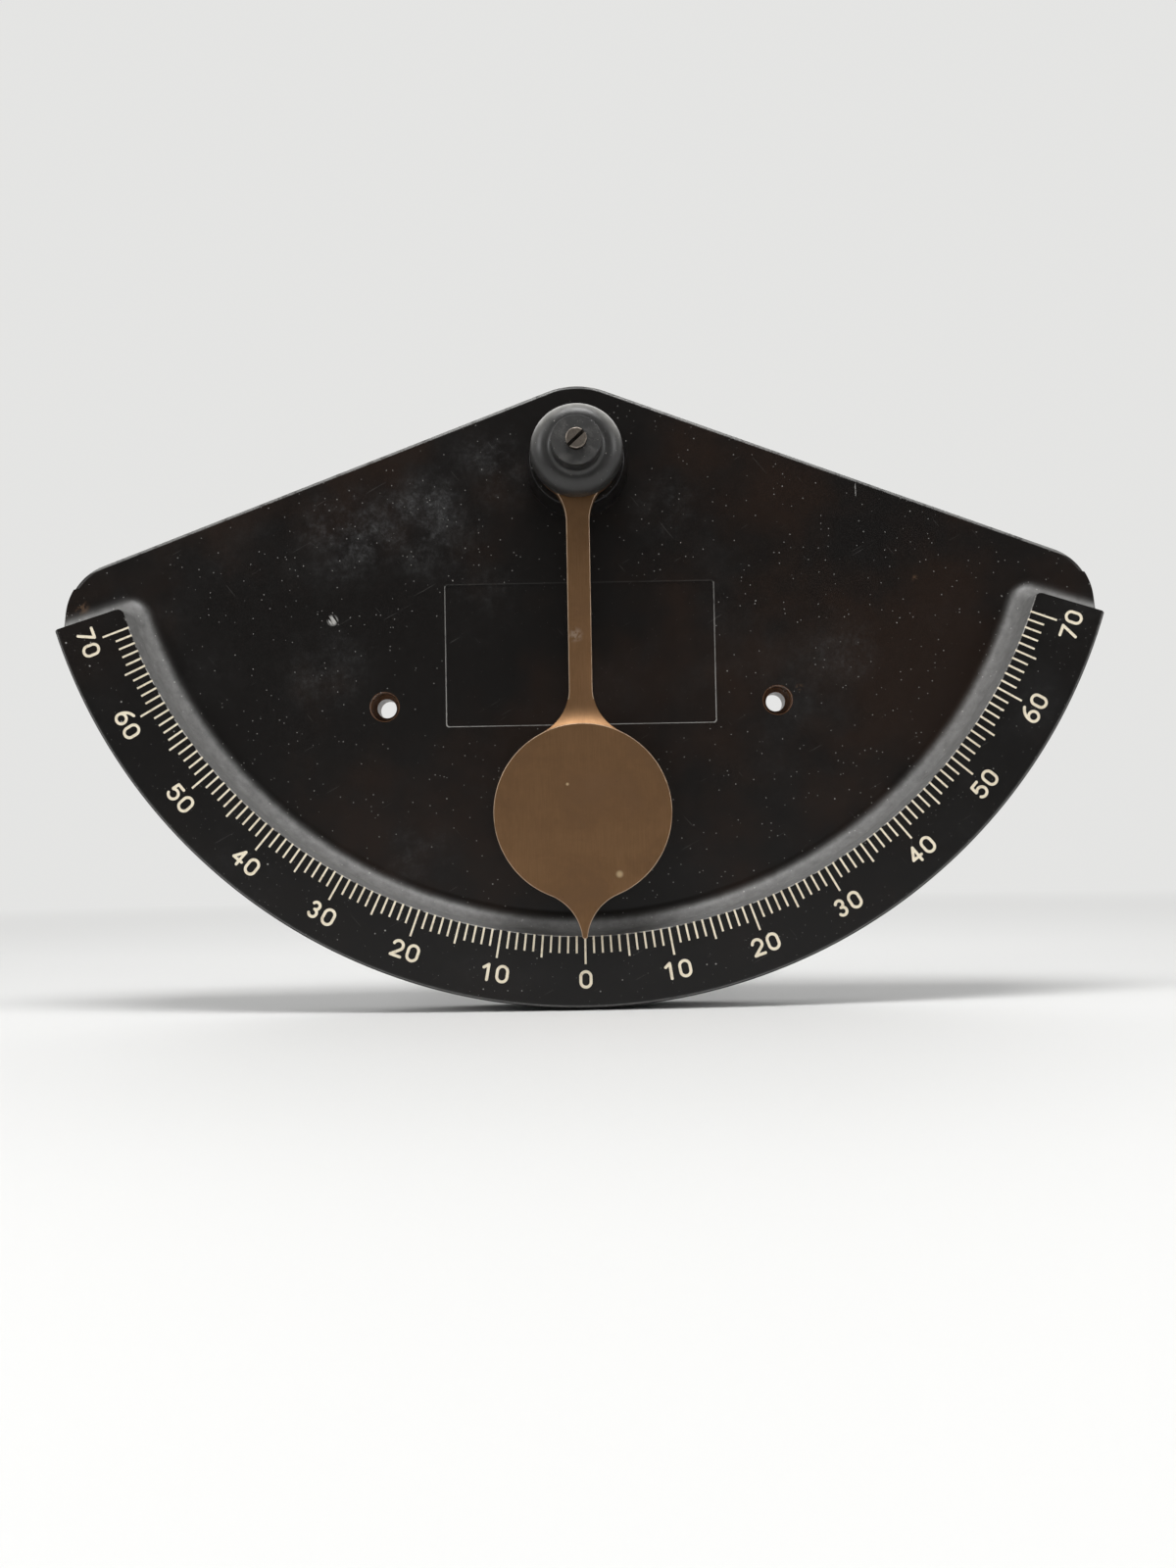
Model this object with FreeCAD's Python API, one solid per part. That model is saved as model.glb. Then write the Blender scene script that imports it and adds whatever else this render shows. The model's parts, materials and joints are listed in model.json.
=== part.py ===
import FreeCAD, Part
import math
import os

from FreeCAD import Vector

# A bulkhead inclinometer: a moulded dial body with a raised degree scale along its foot, and a
# weighted pendulum that swings on a ball bearing in front of it. Sizes are in millimetres.
# +Z is up, the dial faces -Y, and the origin is midway between the two mounting holes in the
# back plane. Angles on the dial count from straight down, positive towards +X.

# The mounting holes, which place the pivot above the origin
HOLE_SPACING = 101.6
PIVOT_HEIGHT = 61.6
HOLE_R = 2.5
COUNTERBORE_R = 3.75
COUNTERBORE_DEPTH = 5.5
MOUNT_BOSS_R = 8.0

# The dial body's outline and depths
SCALE_INNER_R = 121.0
SCALE_END_DEG = 70
RIM_WIDTH = 18.0
RIM_END_MARGIN_DEG = 2.5
RIM_END_CORNER_R = 1.6
RIM_END_OUTER_R = 1.2
RIM_END_OVERRUN = 0.2
APEX_R = 21.5
SLOPE_DEG = 20.6
SHOULDER_R = 15.0
PLATE_THICKNESS = 13.3
RIM_DEPTH = 24.9
EDGE_ROUND = 1.15
WALL_DRAFT_DEG = 5.0
COVE_R = 5.0

# The recessed panel behind the pendulum's arm, measured from the pivot
PANEL_WIDTH = 70.0
PANEL_TOP = 30.0
PANEL_HEIGHT = 37.2
PANEL_RECESS = 0.4
PANEL_CORNER_R = 0.6

# The hollow back
BODY_WALL = 4.8
RIB_THICKNESS = 3.2
RIM_CORE_CELLS = 8
CORE_CORNER_R = 2.0

# The pivot boss and what is moulded and screwed into it
BOSS_BASE_R = 13.4
BOSS_TOP_R = 12.1
BOSS_TOP_BELOW_RIM = 2.5
BOSS_FOOT_R = 1.2
BACK_BOSS_WALL = 5.1
INSERT_WALL = 2.45
INSERT_LENGTH = 17.0
INSERT_GROOVE_DEPTH = 0.9
INSERT_GROOVE_WIDTH = 3.0
INSERT_KNURL_TEETH = 36
INSERT_KNURL_DEPTH = 0.35
STUD_THREAD_R = 3.95
STUD_THREAD_LENGTH = 13.5
STUD_FLANGE_STEP = 2.25
STUD_FLANGE_THICKNESS = 1.1
STUD_NECK_STEP = 1.15
STUD_END_R = 3.0
STUD_END_CHAMFER = 0.2
STUD_END_BEYOND_NUT = 1.8
THREAD_RELIEF = 0.02

# The ball bearing: its bore, outside, width and balls
BEARING_BORE_R = 3.175
BEARING_OUTER_R = 7.9375
BEARING_WIDTH = 4.978
BALL_R = 1.19
BALL_COUNT = 8
RACE_LAND = 1.5
GROOVE_CLEARANCE = 0.04
CAGE_RADIAL = 1.1
CAGE_LENGTH = 3.5
CAGE_POCKET_CLEARANCE = 0.1

# The pendulum
PENDULUM_BEHIND = 1.2
ARM_THICKNESS = 4.0
ARM_WIDTH = 5.9
BOB_THICKNESS = 6.0
BOB_R = 22.1
BOB_TO_SCALE = 30.8
HUB_WALL = 2.86
BLEND_R = 12.4
RAMP_R = 12.4
POINTER_OVERLAP = 0.4
POINTER_NECK = 1.3
POINTER_ROUND = 0.5
HUB_LIP = 0.8
HUB_LIP_WIDTH = 1.04
HUB_GAP = 0.35
PENDULUM_CHAMFER = 0.35

# The washer, nut, cap and screw in front of the bearing
WASHER_THICKNESS = 0.9
NUT_FLATS = 10.0
NUT_THICKNESS = 2.4
NUT_CHAMFER = 0.5
CAP_OVERHANG = 0.5
CAP_NOSE_R = 6.2
CAP_NOSE_FOOT_R = 1.3
CAP_NOSE_LENGTH = 6.5
CAP_NOSE_CHAMFER = 0.3
CAP_GAP = 0.8
CAP_DEPTH = 5.4
CAP_WALL = 1.9
CAP_FLARE = 0.35
CAP_SCREW_CLEARANCE = 0.15
SCREW_SHANK_R = 1.45
SCREW_HEAD_R = 2.6
SCREW_HEAD_HEIGHT = 1.9
SCREW_HEAD_ROUND = 0.35
SCREW_SLOT_WIDTH = 0.9
SCREW_SLOT_DEPTH = 0.95
SCREW_SLOT_DEG = 42.0
SCREW_REACH = 6.0

# The engraved scale, filled with paint
DEGREE_LENGTH = 4.3
FIVE_LENGTH = 5.6
TEN_LENGTH = 7.0
TICK_WIDTH = 0.52
NUMERAL_STROKE = 0.75
NUMERAL_WIDTH = 3.3
NUMERAL_HEIGHT = 4.6
NUMERAL_FROM_SCALE = 10.8
NUMERAL_SPACING = 4.03

# The figures' bends, as shares of half their width and half their height, and as angles from +X
ONE_STEM = 0.3
ONE_FLAG = (-0.6, 0.55)
TWO_BOW = 0.95
THREE_UPPER = 0.48
FOUR_STEM = 0.4
FOUR_BAR = -0.38
FIVE_TOP_RIGHT = 0.8
FIVE_TOP_LEFT = -0.7
FIVE_WAIST = (-0.85, 0.12)
SIX_STEM_R = 2.6
SEVEN_FOOT = -0.35
TWO_TOP_DEG = 165
TWO_NECK_DEG = -38
THREE_END_DEG = 155
FIVE_START_DEG = 135
FIVE_END_DEG = -150
SIX_TOP_DEG = 110
ENGRAVING_DEPTH = 0.3
PAINT_BELOW_FACE = 0.05

# Radii and distances that follow from the sizes above
RIM_OUTER_R = SCALE_INNER_R + RIM_WIDTH
RIM_END_DEG = SCALE_END_DEG + RIM_END_MARGIN_DEG
INSERT_R = STUD_THREAD_R + INSERT_WALL
BACK_BOSS_R = INSERT_R + BACK_BOSS_WALL
STUD_FLANGE_R = STUD_THREAD_R + STUD_FLANGE_STEP
STUD_NECK_R = BEARING_BORE_R + STUD_NECK_STEP
HUB_R = BEARING_OUTER_R + HUB_WALL
HUB_LIP_BORE_R = BEARING_OUTER_R - HUB_LIP_WIDTH
WASHER_R = BEARING_BORE_R + RACE_LAND
CAP_R = HUB_R + CAP_OVERHANG
BOB_DROP = SCALE_INNER_R - BOB_TO_SCALE
NUMERAL_CENTRE_R = SCALE_INNER_R + NUMERAL_FROM_SCALE
NUMERAL_PITCH_DEG = math.degrees(NUMERAL_SPACING / NUMERAL_CENTRE_R)

# Places along Y that follow from the sizes above
PLATE_FACE = -PLATE_THICKNESS
RIM_FACE = -RIM_DEPTH
BOSS_TOP = RIM_FACE + BOSS_TOP_BELOW_RIM
FLANGE_FACE = BOSS_TOP - STUD_FLANGE_THICKNESS
HUB_BACK = FLANGE_FACE - HUB_GAP
PENDULUM_BACK = RIM_FACE - PENDULUM_BEHIND
ARM_FACE = PENDULUM_BACK - ARM_THICKNESS
BOB_FACE = PENDULUM_BACK - BOB_THICKNESS
BEARING_BACK = HUB_BACK - HUB_LIP
BEARING_FACE = BEARING_BACK - BEARING_WIDTH
WASHER_FACE = BEARING_FACE - WASHER_THICKNESS
NUT_FACE = WASHER_FACE - NUT_THICKNESS
STUD_END = NUT_FACE - STUD_END_BEYOND_NUT
CAP_BACK = ARM_FACE - CAP_GAP
CAP_SHOULDER = CAP_BACK - CAP_DEPTH
NOSE_FACE = CAP_SHOULDER - CAP_NOSE_LENGTH
POINTER_R = SCALE_INNER_R + POINTER_OVERLAP
BALL_PITCH_R = (BEARING_BORE_R + BEARING_OUTER_R) / 2
OUTWARD = Vector(0, -1, 0)

# Two places nearer than this are one place
SAME = 1e-5

# How far the middle of a quarter round stays from its two ends' planes, as a share of its radius
QUARTER_BEND = 1 - math.sqrt(0.5)


def polar(radius, degrees, y=0.0):
    """Return the point at a radius from the pivot, at an angle from straight down."""
    turn = math.radians(degrees)
    return Vector(radius * math.sin(turn), y, PIVOT_HEIGHT - radius * math.cos(turn))


def pivot_point(y=0.0):
    """Return the point on the pivot's axis at a place along Y."""
    return Vector(0, y, PIVOT_HEIGHT)


def line(start, end):
    """Return a straight edge."""
    return Part.LineSegment(start, end).toShape()


def arc(start, middle, end):
    """Return a round edge through three points."""
    return Part.Arc(start, middle, end).toShape()


def drawn(points):
    """Return the edge through two or three points, straight or round."""
    return line(*points) if len(points) == 2 else arc(*points)


def prism(edges, depth):
    """Return the solid that a closed chain of edges sweeps towards the viewer."""
    return Part.Face(Part.Wire(edges)).extrude(OUTWARD * depth)


def rod(radius, start_y, end_y, centre=None):
    """Return a cylinder along Y, from a back place to a front one, on the pivot by default."""
    place = centre if centre else pivot_point()
    return Part.makeCylinder(radius, start_y - end_y, Vector(place.x, start_y, place.z), OUTWARD)


def turned(profile):
    """Return the solid that a (radius, y) outline makes when turned about the pivot's axis."""
    points = [Vector(radius, y, PIVOT_HEIGHT) for radius, y in profile]
    face = Part.Face(Part.makePolygon(points + points[:1]))
    return face.revolve(pivot_point(), Vector(0, 1, 0), 360)


def mirrored(point):
    """Return the point's image on the other side of the dial's middle plane."""
    return Vector(-point.x, point.y, point.z)


def plate_edges(inset=0.0, y=0.0):
    """Return the dial body's outline, drawn inwards by a wall, as a closed chain of edges.

    The apex is an arc about the pivot, the slopes touch it, and a round shoulder joins each
    slope to the outer circle of the rim.
    """
    apex = APEX_R - inset
    shoulder = SHOULDER_R - inset
    outer = RIM_OUTER_R - inset
    slope = math.radians(SLOPE_DEG)
    lean = slope + math.acos((apex - shoulder) / (outer - shoulder))

    def upward(radius, angle):
        return Vector(radius * math.sin(angle), y, PIVOT_HEIGHT + radius * math.cos(angle))

    apex_end = upward(apex, slope)
    centre = upward(outer - shoulder, lean)
    slope_end = centre + (upward(1, slope) - pivot_point(y)) * shoulder
    middle = centre + (upward(1, (slope + lean) / 2) - pivot_point(y)) * shoulder
    rim_end = upward(outer, lean)
    return [
        arc(mirrored(apex_end), upward(apex, 0), apex_end),
        line(apex_end, slope_end),
        arc(slope_end, middle, rim_end),
        arc(rim_end, upward(outer, math.pi), mirrored(rim_end)),
        arc(mirrored(rim_end), mirrored(middle), mirrored(slope_end)),
        line(mirrored(slope_end), mirrored(apex_end)),
    ]


def sector_edges(inner, outer, start, end, y=0.0):
    """Return the outline of a ring sector about the pivot, between two angles."""
    middle = (start + end) / 2
    return [
        arc(polar(inner, start, y), polar(inner, middle, y), polar(inner, end, y)),
        line(polar(inner, end, y), polar(outer, end, y)),
        arc(polar(outer, end, y), polar(outer, middle, y), polar(outer, start, y)),
        line(polar(outer, start, y), polar(inner, start, y)),
    ]


def well_wire(inset, y):
    """Return the outline of the space in front of the plate, inside the rim and past its ends.

    The rim's inner circle and its two radial ends are drawn away from the rim by inset. A round
    corner joins each end to the circle, and another rounds the end off towards the outside. That
    one overruns the rim's outer circle a little, so that it crosses it at a clear angle.
    """
    circle = SCALE_INNER_R - inset
    corner = RIM_END_CORNER_R + inset
    outer = RIM_END_OUTER_R + inset
    end = math.radians(RIM_END_DEG)
    along = Vector(math.sin(end), 0, -math.cos(end))
    away = Vector(math.cos(end), 0, math.sin(end))
    beyond = 2 * RIM_OUTER_R
    # The corner's centre lies inside the rim, a corner radius from the end and from the circle
    side = inset - corner
    reach = math.sqrt((circle + corner) ** 2 - side ** 2)
    centre = pivot_point(y) + along * reach + away * side
    on_circle = pivot_point(y) + (centre - pivot_point(y)).normalize() * circle
    on_end = centre + away * corner
    towards = ((on_circle - centre).normalize() + away).normalize()
    middle = centre + towards * corner
    turn_reach = RIM_OUTER_R + RIM_END_OVERRUN - RIM_END_OUTER_R
    turn_start = pivot_point(y) + along * turn_reach + away * inset
    turn_centre = turn_start - away * outer
    turn_end = turn_centre + along * outer
    turn_middle = turn_centre + (along + away).normalize() * outer
    far = turn_end + along * SCALE_INNER_R
    above = Vector(far.x, y, PIVOT_HEIGHT + beyond)

    right = [
        (on_circle, middle, on_end),
        (on_end, turn_start),
        (turn_start, turn_middle, turn_end),
        (turn_end, far),
        (far, above),
    ]
    edges = [arc(mirrored(on_circle), pivot_point(y) + Vector(0, 0, -circle), on_circle)]
    edges += [drawn(points) for points in right]
    edges.append(line(above, mirrored(above)))
    edges += [drawn([mirrored(point) for point in reversed(points)]) for points in reversed(right)]
    return Part.Wire(edges)


def dial_well():
    """Return the drafted space in front of the plate, with a cove where its wall meets the plate."""
    depth = RIM_DEPTH - PLATE_THICKNESS
    spread = depth * math.tan(math.radians(WALL_DRAFT_DEG))
    block = Part.makeLoft([well_wire(spread, PLATE_FACE), well_wire(0.0, RIM_FACE)], True, True)
    lid = Part.Face(well_wire(0.0, RIM_FACE)).extrude(OUTWARD)
    floor_edges = [edge for edge in front_edges(block, PLATE_FACE)
                   if edge.BoundBox.ZMax < PIVOT_HEIGHT]
    return block.makeFillet(COVE_R, floor_edges).fuse(lid)


def front_edges(solid, place):
    """Return the edges of a solid that lie flat at one place along Y."""
    return [edge for edge in solid.Edges
            if abs(edge.BoundBox.YMin - place) < SAME and abs(edge.BoundBox.YMax - place) < SAME]


def rim():
    """Return the raised rim with its rounded outer edge and coved inner wall.

    The block runs past the rim's ends by the width of the coves, and stays inside the outline.
    """
    end = RIM_END_DEG + math.degrees(2 * COVE_R / SCALE_INNER_R)
    block = prism(sector_edges(SCALE_INNER_R - 3 * COVE_R, RIM_OUTER_R, -end, end), RIM_DEPTH)
    outer_front = [edge for edge in front_edges(block, RIM_FACE)
                   if isinstance(edge.Curve, Part.Circle)
                   and abs(edge.Curve.Radius - RIM_OUTER_R) < SAME]
    ring = block.makeFillet(EDGE_ROUND, outer_front).cut(dial_well())
    return ring.common(prism(plate_edges(), RIM_DEPTH))


def mount_centres():
    """Return the places of the two mounting holes in the back plane."""
    return [Vector(side * HOLE_SPACING / 2, 0, 0) for side in (-1, 1)]


def rib(degrees, length, depth):
    """Return a straight rib that runs from the pivot at an angle on the dial."""
    block = Part.makeBox(RIB_THICKNESS, depth, length,
                         Vector(-RIB_THICKNESS / 2, -depth, PIVOT_HEIGHT - length))
    block.rotate(pivot_point(), Vector(0, 1, 0), -degrees)
    return block


def upright_rounded(solid, radius):
    """Return a block with its corners that run along Y rounded."""
    edges = []
    for edge in solid.Edges:
        box = edge.BoundBox
        if box.YLength > SAME and box.XLength < SAME and box.ZLength < SAME:
            edges.append(edge)
    return solid.makeFillet(radius, edges)


def back_pockets():
    """Return the hollows behind the plate, between its wall, ribs and bosses."""
    depth = PLATE_THICKNESS - BODY_WALL
    hollow = prism(plate_edges(BODY_WALL), depth)
    hollow = hollow.common(rod(SCALE_INNER_R, 0, -depth))
    hole_angle = math.degrees(math.atan2(HOLE_SPACING / 2, PIVOT_HEIGHT))
    solids = [rib(degrees, RIM_OUTER_R, depth) for degrees in (-hole_angle, 0, hole_angle)]
    solids += [rod(MOUNT_BOSS_R, 0, -depth, centre) for centre in mount_centres()]
    solids.append(rod(BACK_BOSS_R, 0, -depth))
    hollow = hollow.cut(solids)
    return [upright_rounded(pocket, CORE_CORNER_R) for pocket in hollow.Solids]


def rim_cores():
    """Return the row of hollows in the back of the rim, with a rib between neighbours."""
    depth = RIM_DEPTH - BODY_WALL
    inner = SCALE_INNER_R + BODY_WALL
    outer = RIM_OUTER_R - BODY_WALL
    rib_deg = math.degrees(RIB_THICKNESS / inner)
    end = RIM_END_DEG - math.degrees(BODY_WALL / inner)
    pitch = (2 * end + rib_deg) / RIM_CORE_CELLS
    cores = []
    for index in range(RIM_CORE_CELLS):
        start = -end + index * pitch
        cell = prism(sector_edges(inner, outer, start, start + pitch - rib_deg), depth)
        cores.append(upright_rounded(cell, CORE_CORNER_R))
    return cores


def pivot_boss():
    """Return the drafted boss on the front of the plate, with a small fillet round its foot."""
    foot = BOSS_BASE_R + BOSS_FOOT_R
    return turned([
        (0, PLATE_FACE + BODY_WALL),
        (foot, PLATE_FACE + BODY_WALL),
        (foot, PLATE_FACE),
        (BOSS_BASE_R + BOSS_FOOT_R * QUARTER_BEND, PLATE_FACE - BOSS_FOOT_R * QUARTER_BEND),
        (BOSS_BASE_R, PLATE_FACE - BOSS_FOOT_R),
        (BOSS_TOP_R, BOSS_TOP),
        (0, BOSS_TOP),
    ])


def panel_recess():
    """Return the shallow rectangular recess in the plate's face."""
    left = -PANEL_WIDTH / 2
    top = PIVOT_HEIGHT - PANEL_TOP
    block = Part.makeBox(PANEL_WIDTH, PANEL_RECESS, PANEL_HEIGHT,
                         Vector(left, PLATE_FACE, top - PANEL_HEIGHT))
    return upright_rounded(block, PANEL_CORNER_R)


def mounting_holes():
    """Return the two stepped holes for the mounting screws."""
    holes = []
    for centre in mount_centres():
        holes.append(rod(HOLE_R, 1, PLATE_FACE - 1, centre))
        holes.append(rod(COUNTERBORE_R, PLATE_FACE + COUNTERBORE_DEPTH, PLATE_FACE - 1, centre))
    return holes


def insert_blank():
    """Return the outside of the threaded insert: two knurled bands with a groove between."""
    back = BOSS_TOP + INSERT_LENGTH
    teeth = 2 * INSERT_KNURL_TEETH
    points = []
    for index in range(teeth):
        radius = INSERT_R if index % 2 == 0 else INSERT_R - INSERT_KNURL_DEPTH
        points.append(polar(radius, 360.0 * index / teeth, back))
    knurled = Part.Face(Part.makePolygon(points + points[:1])).extrude(OUTWARD * INSERT_LENGTH)
    middle = back - INSERT_LENGTH / 2
    half = INSERT_GROOVE_WIDTH / 2
    groove = rod(INSERT_R + 1, middle + half, middle - half).cut(
        rod(INSERT_R - INSERT_GROOVE_DEPTH, middle + half, middle - half))
    return knurled.cut(groove)


def tick_length(degrees):
    """Return how long the scale mark at a whole degree is."""
    if degrees % 10 == 0:
        return TEN_LENGTH
    if degrees % 5 == 0:
        return FIVE_LENGTH
    return DEGREE_LENGTH


def scale_marks(front_y, back_y):
    """Return one bar for each whole degree of the scale, between two places along Y."""
    marks = []
    inner = SCALE_INNER_R - EDGE_ROUND
    for degrees in range(-SCALE_END_DEG, SCALE_END_DEG + 1):
        outer = SCALE_INNER_R + tick_length(degrees)
        mark = Part.makeBox(TICK_WIDTH, back_y - front_y, outer - inner,
                            Vector(-TICK_WIDTH / 2, front_y, PIVOT_HEIGHT - outer))
        mark.rotate(pivot_point(), Vector(0, 1, 0), -degrees)
        marks.append(mark)
    return marks


def line_stroke(start, end):
    """Return the flat outline of a straight pen stroke with round ends, in the XZ plane."""
    half = NUMERAL_STROKE / 2
    first = Vector(start[0], 0, start[1])
    last = Vector(end[0], 0, end[1])
    along = (last - first).normalize() * half
    side = Vector(-along.z, 0, along.x)
    return Part.Face(Part.Wire([
        line(first + side, last + side),
        arc(last + side, last + along, last - side),
        line(last - side, first - side),
        arc(first - side, first - along, first + side),
    ]))


def arc_stroke(centre, radius, start, end):
    """Return the flat outline of a round pen stroke between two angles from +X, in the XZ plane."""
    half = NUMERAL_STROKE / 2

    def at(reach, degrees, shift=0.0):
        turn = math.radians(degrees)
        tangent = Vector(-math.sin(turn), 0, math.cos(turn)) * shift
        return Vector(centre[0], 0, centre[1]) + Vector(math.cos(turn), 0, math.sin(turn)) * reach + tangent

    middle = (start + end) / 2
    sign = 1 if end > start else -1
    outer = radius + half
    inner = radius - half
    return Part.Face(Part.Wire([
        arc(at(outer, start), at(outer, middle), at(outer, end)),
        arc(at(outer, end), at(radius, end, sign * half), at(inner, end)),
        arc(at(inner, end), at(inner, middle), at(inner, start)),
        arc(at(inner, start), at(radius, start, -sign * half), at(outer, start)),
    ]))


def numeral_strokes():
    """Return the pen strokes of each figure, drawn about its centre in a plain engraver's hand."""
    right = (NUMERAL_WIDTH - NUMERAL_STROKE) / 2
    top = (NUMERAL_HEIGHT - NUMERAL_STROKE) / 2
    low = top - right
    upper = top * THREE_UPPER
    lower = top - upper
    bow = right * TWO_BOW
    neck = math.radians(TWO_NECK_DEG)
    six_r = right * SIX_STEM_R

    def at(across, up):
        return (right * across, top * up)

    return {
        0: [arc_stroke((0, low), right, 0, 180),
            line_stroke((-right, low), (-right, -low)),
            arc_stroke((0, -low), right, 180, 360),
            line_stroke((right, -low), (right, low))],
        1: [line_stroke(at(ONE_STEM, -1), at(ONE_STEM, 1)),
            line_stroke(at(ONE_STEM, 1), at(*ONE_FLAG))],
        2: [arc_stroke((0, top - bow), bow, TWO_TOP_DEG, TWO_NECK_DEG),
            line_stroke((bow * math.cos(neck), top - bow + bow * math.sin(neck)), at(-1, -1)),
            line_stroke(at(-1, -1), at(1, -1))],
        3: [arc_stroke((0, top - upper), upper, THREE_END_DEG, -90),
            arc_stroke((0, -top + lower), lower, 90, -THREE_END_DEG)],
        4: [line_stroke(at(FOUR_STEM, -1), at(FOUR_STEM, 1)),
            line_stroke(at(FOUR_STEM, 1), at(-1, FOUR_BAR)),
            line_stroke(at(-1, FOUR_BAR), at(1, FOUR_BAR))],
        5: [line_stroke(at(FIVE_TOP_RIGHT, 1), at(FIVE_TOP_LEFT, 1)),
            line_stroke(at(FIVE_TOP_LEFT, 1), at(*FIVE_WAIST)),
            arc_stroke((0, -low), right, FIVE_START_DEG, FIVE_END_DEG)],
        6: [arc_stroke((0, -low), right, 0, 180),
            arc_stroke((0, -low), right, 180, 360),
            arc_stroke((six_r - right, -low), six_r, 180, SIX_TOP_DEG)],
        7: [line_stroke(at(-1, 1), at(1, 1)),
            line_stroke(at(1, 1), at(SEVEN_FOOT, -1))],
    }


def numerals(front_y, back_y):
    """Return one solid for each figure of the scale's numbers, between two places along Y."""
    shapes = {}
    for figure, strokes in numeral_strokes().items():
        bars = [face.extrude(Vector(0, back_y - front_y, 0)) for face in strokes]
        shapes[figure] = bars[0].multiFuse(bars[1:]).removeSplitter()
    placed = []
    for degrees in range(-SCALE_END_DEG, SCALE_END_DEG + 1, 10):
        figures = [int(letter) for letter in str(abs(degrees))]
        for index, figure in enumerate(figures):
            angle = degrees + (index - (len(figures) - 1) / 2) * NUMERAL_PITCH_DEG
            shape = shapes[figure].copy()
            shape.rotate(Vector(0, 0, 0), Vector(0, 1, 0), -angle)
            shape.translate(polar(NUMERAL_CENTRE_R, angle, front_y))
            placed.append(shape)
    return placed


def dial_blank():
    """Return the dial body before its scale is engraved."""
    plate = prism(plate_edges(), PLATE_THICKNESS)
    plate = plate.makeFillet(EDGE_ROUND, front_edges(plate, PLATE_FACE))
    body = plate.fuse([rim(), pivot_boss()]).removeSplitter()
    cuts = back_pockets() + rim_cores() + mounting_holes()
    cuts += [panel_recess(), insert_blank()]
    return body.cut(cuts)


def dial_parts():
    """Return the engraved dial body and the paint that fills its marks and its figures."""
    blank = dial_blank()
    bottom = RIM_FACE + ENGRAVING_DEPTH
    surface = RIM_FACE + PAINT_BELOW_FACE
    engraving = scale_marks(RIM_FACE - 1, bottom) + numerals(RIM_FACE - 1, bottom)
    marks = Part.makeCompound(scale_marks(surface, bottom)).common(rim_trim())
    figures = numerals(surface, bottom)
    return blank.cut(engraving), Part.makeCompound(marks.Solids), Part.makeCompound(figures)


def rim_trim():
    """Return the rim's plain ring, which trims the marks where its inner wall starts."""
    spread = ENGRAVING_DEPTH * math.tan(math.radians(WALL_DRAFT_DEG))
    inner = SCALE_INNER_R - spread
    profile = [(inner, RIM_FACE + ENGRAVING_DEPTH), (RIM_OUTER_R, RIM_FACE + ENGRAVING_DEPTH),
               (RIM_OUTER_R, RIM_FACE), (SCALE_INNER_R, RIM_FACE)]
    return turned(profile)


def pivot_insert():
    """Return the brass insert that is moulded into the boss, with its tapped bore."""
    bore = rod(STUD_THREAD_R + THREAD_RELIEF, BOSS_TOP + INSERT_LENGTH + 1, BOSS_TOP - 1)
    return insert_blank().cut(bore)


def pivot_stud():
    """Return the steel stud: thread, flange, neck, bearing journal and threaded end."""
    back = BOSS_TOP + STUD_THREAD_LENGTH
    stud = turned([
        (0, back),
        (STUD_THREAD_R - NUT_CHAMFER, back),
        (STUD_THREAD_R, back - NUT_CHAMFER),
        (STUD_THREAD_R, BOSS_TOP),
        (STUD_FLANGE_R, BOSS_TOP),
        (STUD_FLANGE_R, FLANGE_FACE),
        (STUD_NECK_R, FLANGE_FACE),
        (STUD_NECK_R, BEARING_BACK),
        (BEARING_BORE_R - THREAD_RELIEF, BEARING_BACK),
        (BEARING_BORE_R - THREAD_RELIEF, BEARING_FACE),
        (STUD_END_R, BEARING_FACE),
        (STUD_END_R, STUD_END + STUD_END_CHAMFER),
        (STUD_END_R - STUD_END_CHAMFER, STUD_END),
        (0, STUD_END),
    ])
    return stud.cut(rod(SCREW_SHANK_R + THREAD_RELIEF, STUD_END + SCREW_REACH + 1, STUD_END - 1))


def race_ring(inner, outer):
    """Return one race of the bearing as a plain ring with its ball groove and chamfered rims."""
    chamfer = RACE_LAND / 5
    ring = turned([
        (inner + chamfer, BEARING_BACK),
        (outer - chamfer, BEARING_BACK),
        (outer, BEARING_BACK - chamfer),
        (outer, BEARING_FACE + chamfer),
        (outer - chamfer, BEARING_FACE),
        (inner + chamfer, BEARING_FACE),
        (inner, BEARING_FACE + chamfer),
        (inner, BEARING_BACK - chamfer),
    ])
    groove = Part.makeTorus(BALL_PITCH_R, BALL_R + GROOVE_CLEARANCE,
                            pivot_point((BEARING_BACK + BEARING_FACE) / 2), Vector(0, 1, 0))
    return ring.cut(groove)


def ball_centre(index, reach=0.0):
    """Return the centre of one ball of the bearing, or a point further out along its spoke."""
    return polar(BALL_PITCH_R + reach, 360.0 * index / BALL_COUNT, (BEARING_BACK + BEARING_FACE) / 2)


def bearing_cage():
    """Return the ring that keeps the balls apart, with one pocket for each."""
    middle = (BEARING_BACK + BEARING_FACE) / 2
    half = CAGE_LENGTH / 2
    outer = BALL_PITCH_R + CAGE_RADIAL / 2
    ring = rod(outer, middle + half, middle - half)
    ring = ring.cut(rod(outer - CAGE_RADIAL, middle + half, middle - half))
    pockets = []
    for index in range(BALL_COUNT):
        start = ball_centre(index, -CAGE_RADIAL)
        spoke = ball_centre(index, CAGE_RADIAL) - start
        pockets.append(Part.makeCylinder(BALL_R + CAGE_POCKET_CLEARANCE, spoke.Length, start, spoke))
    return ring.cut(pockets)


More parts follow.
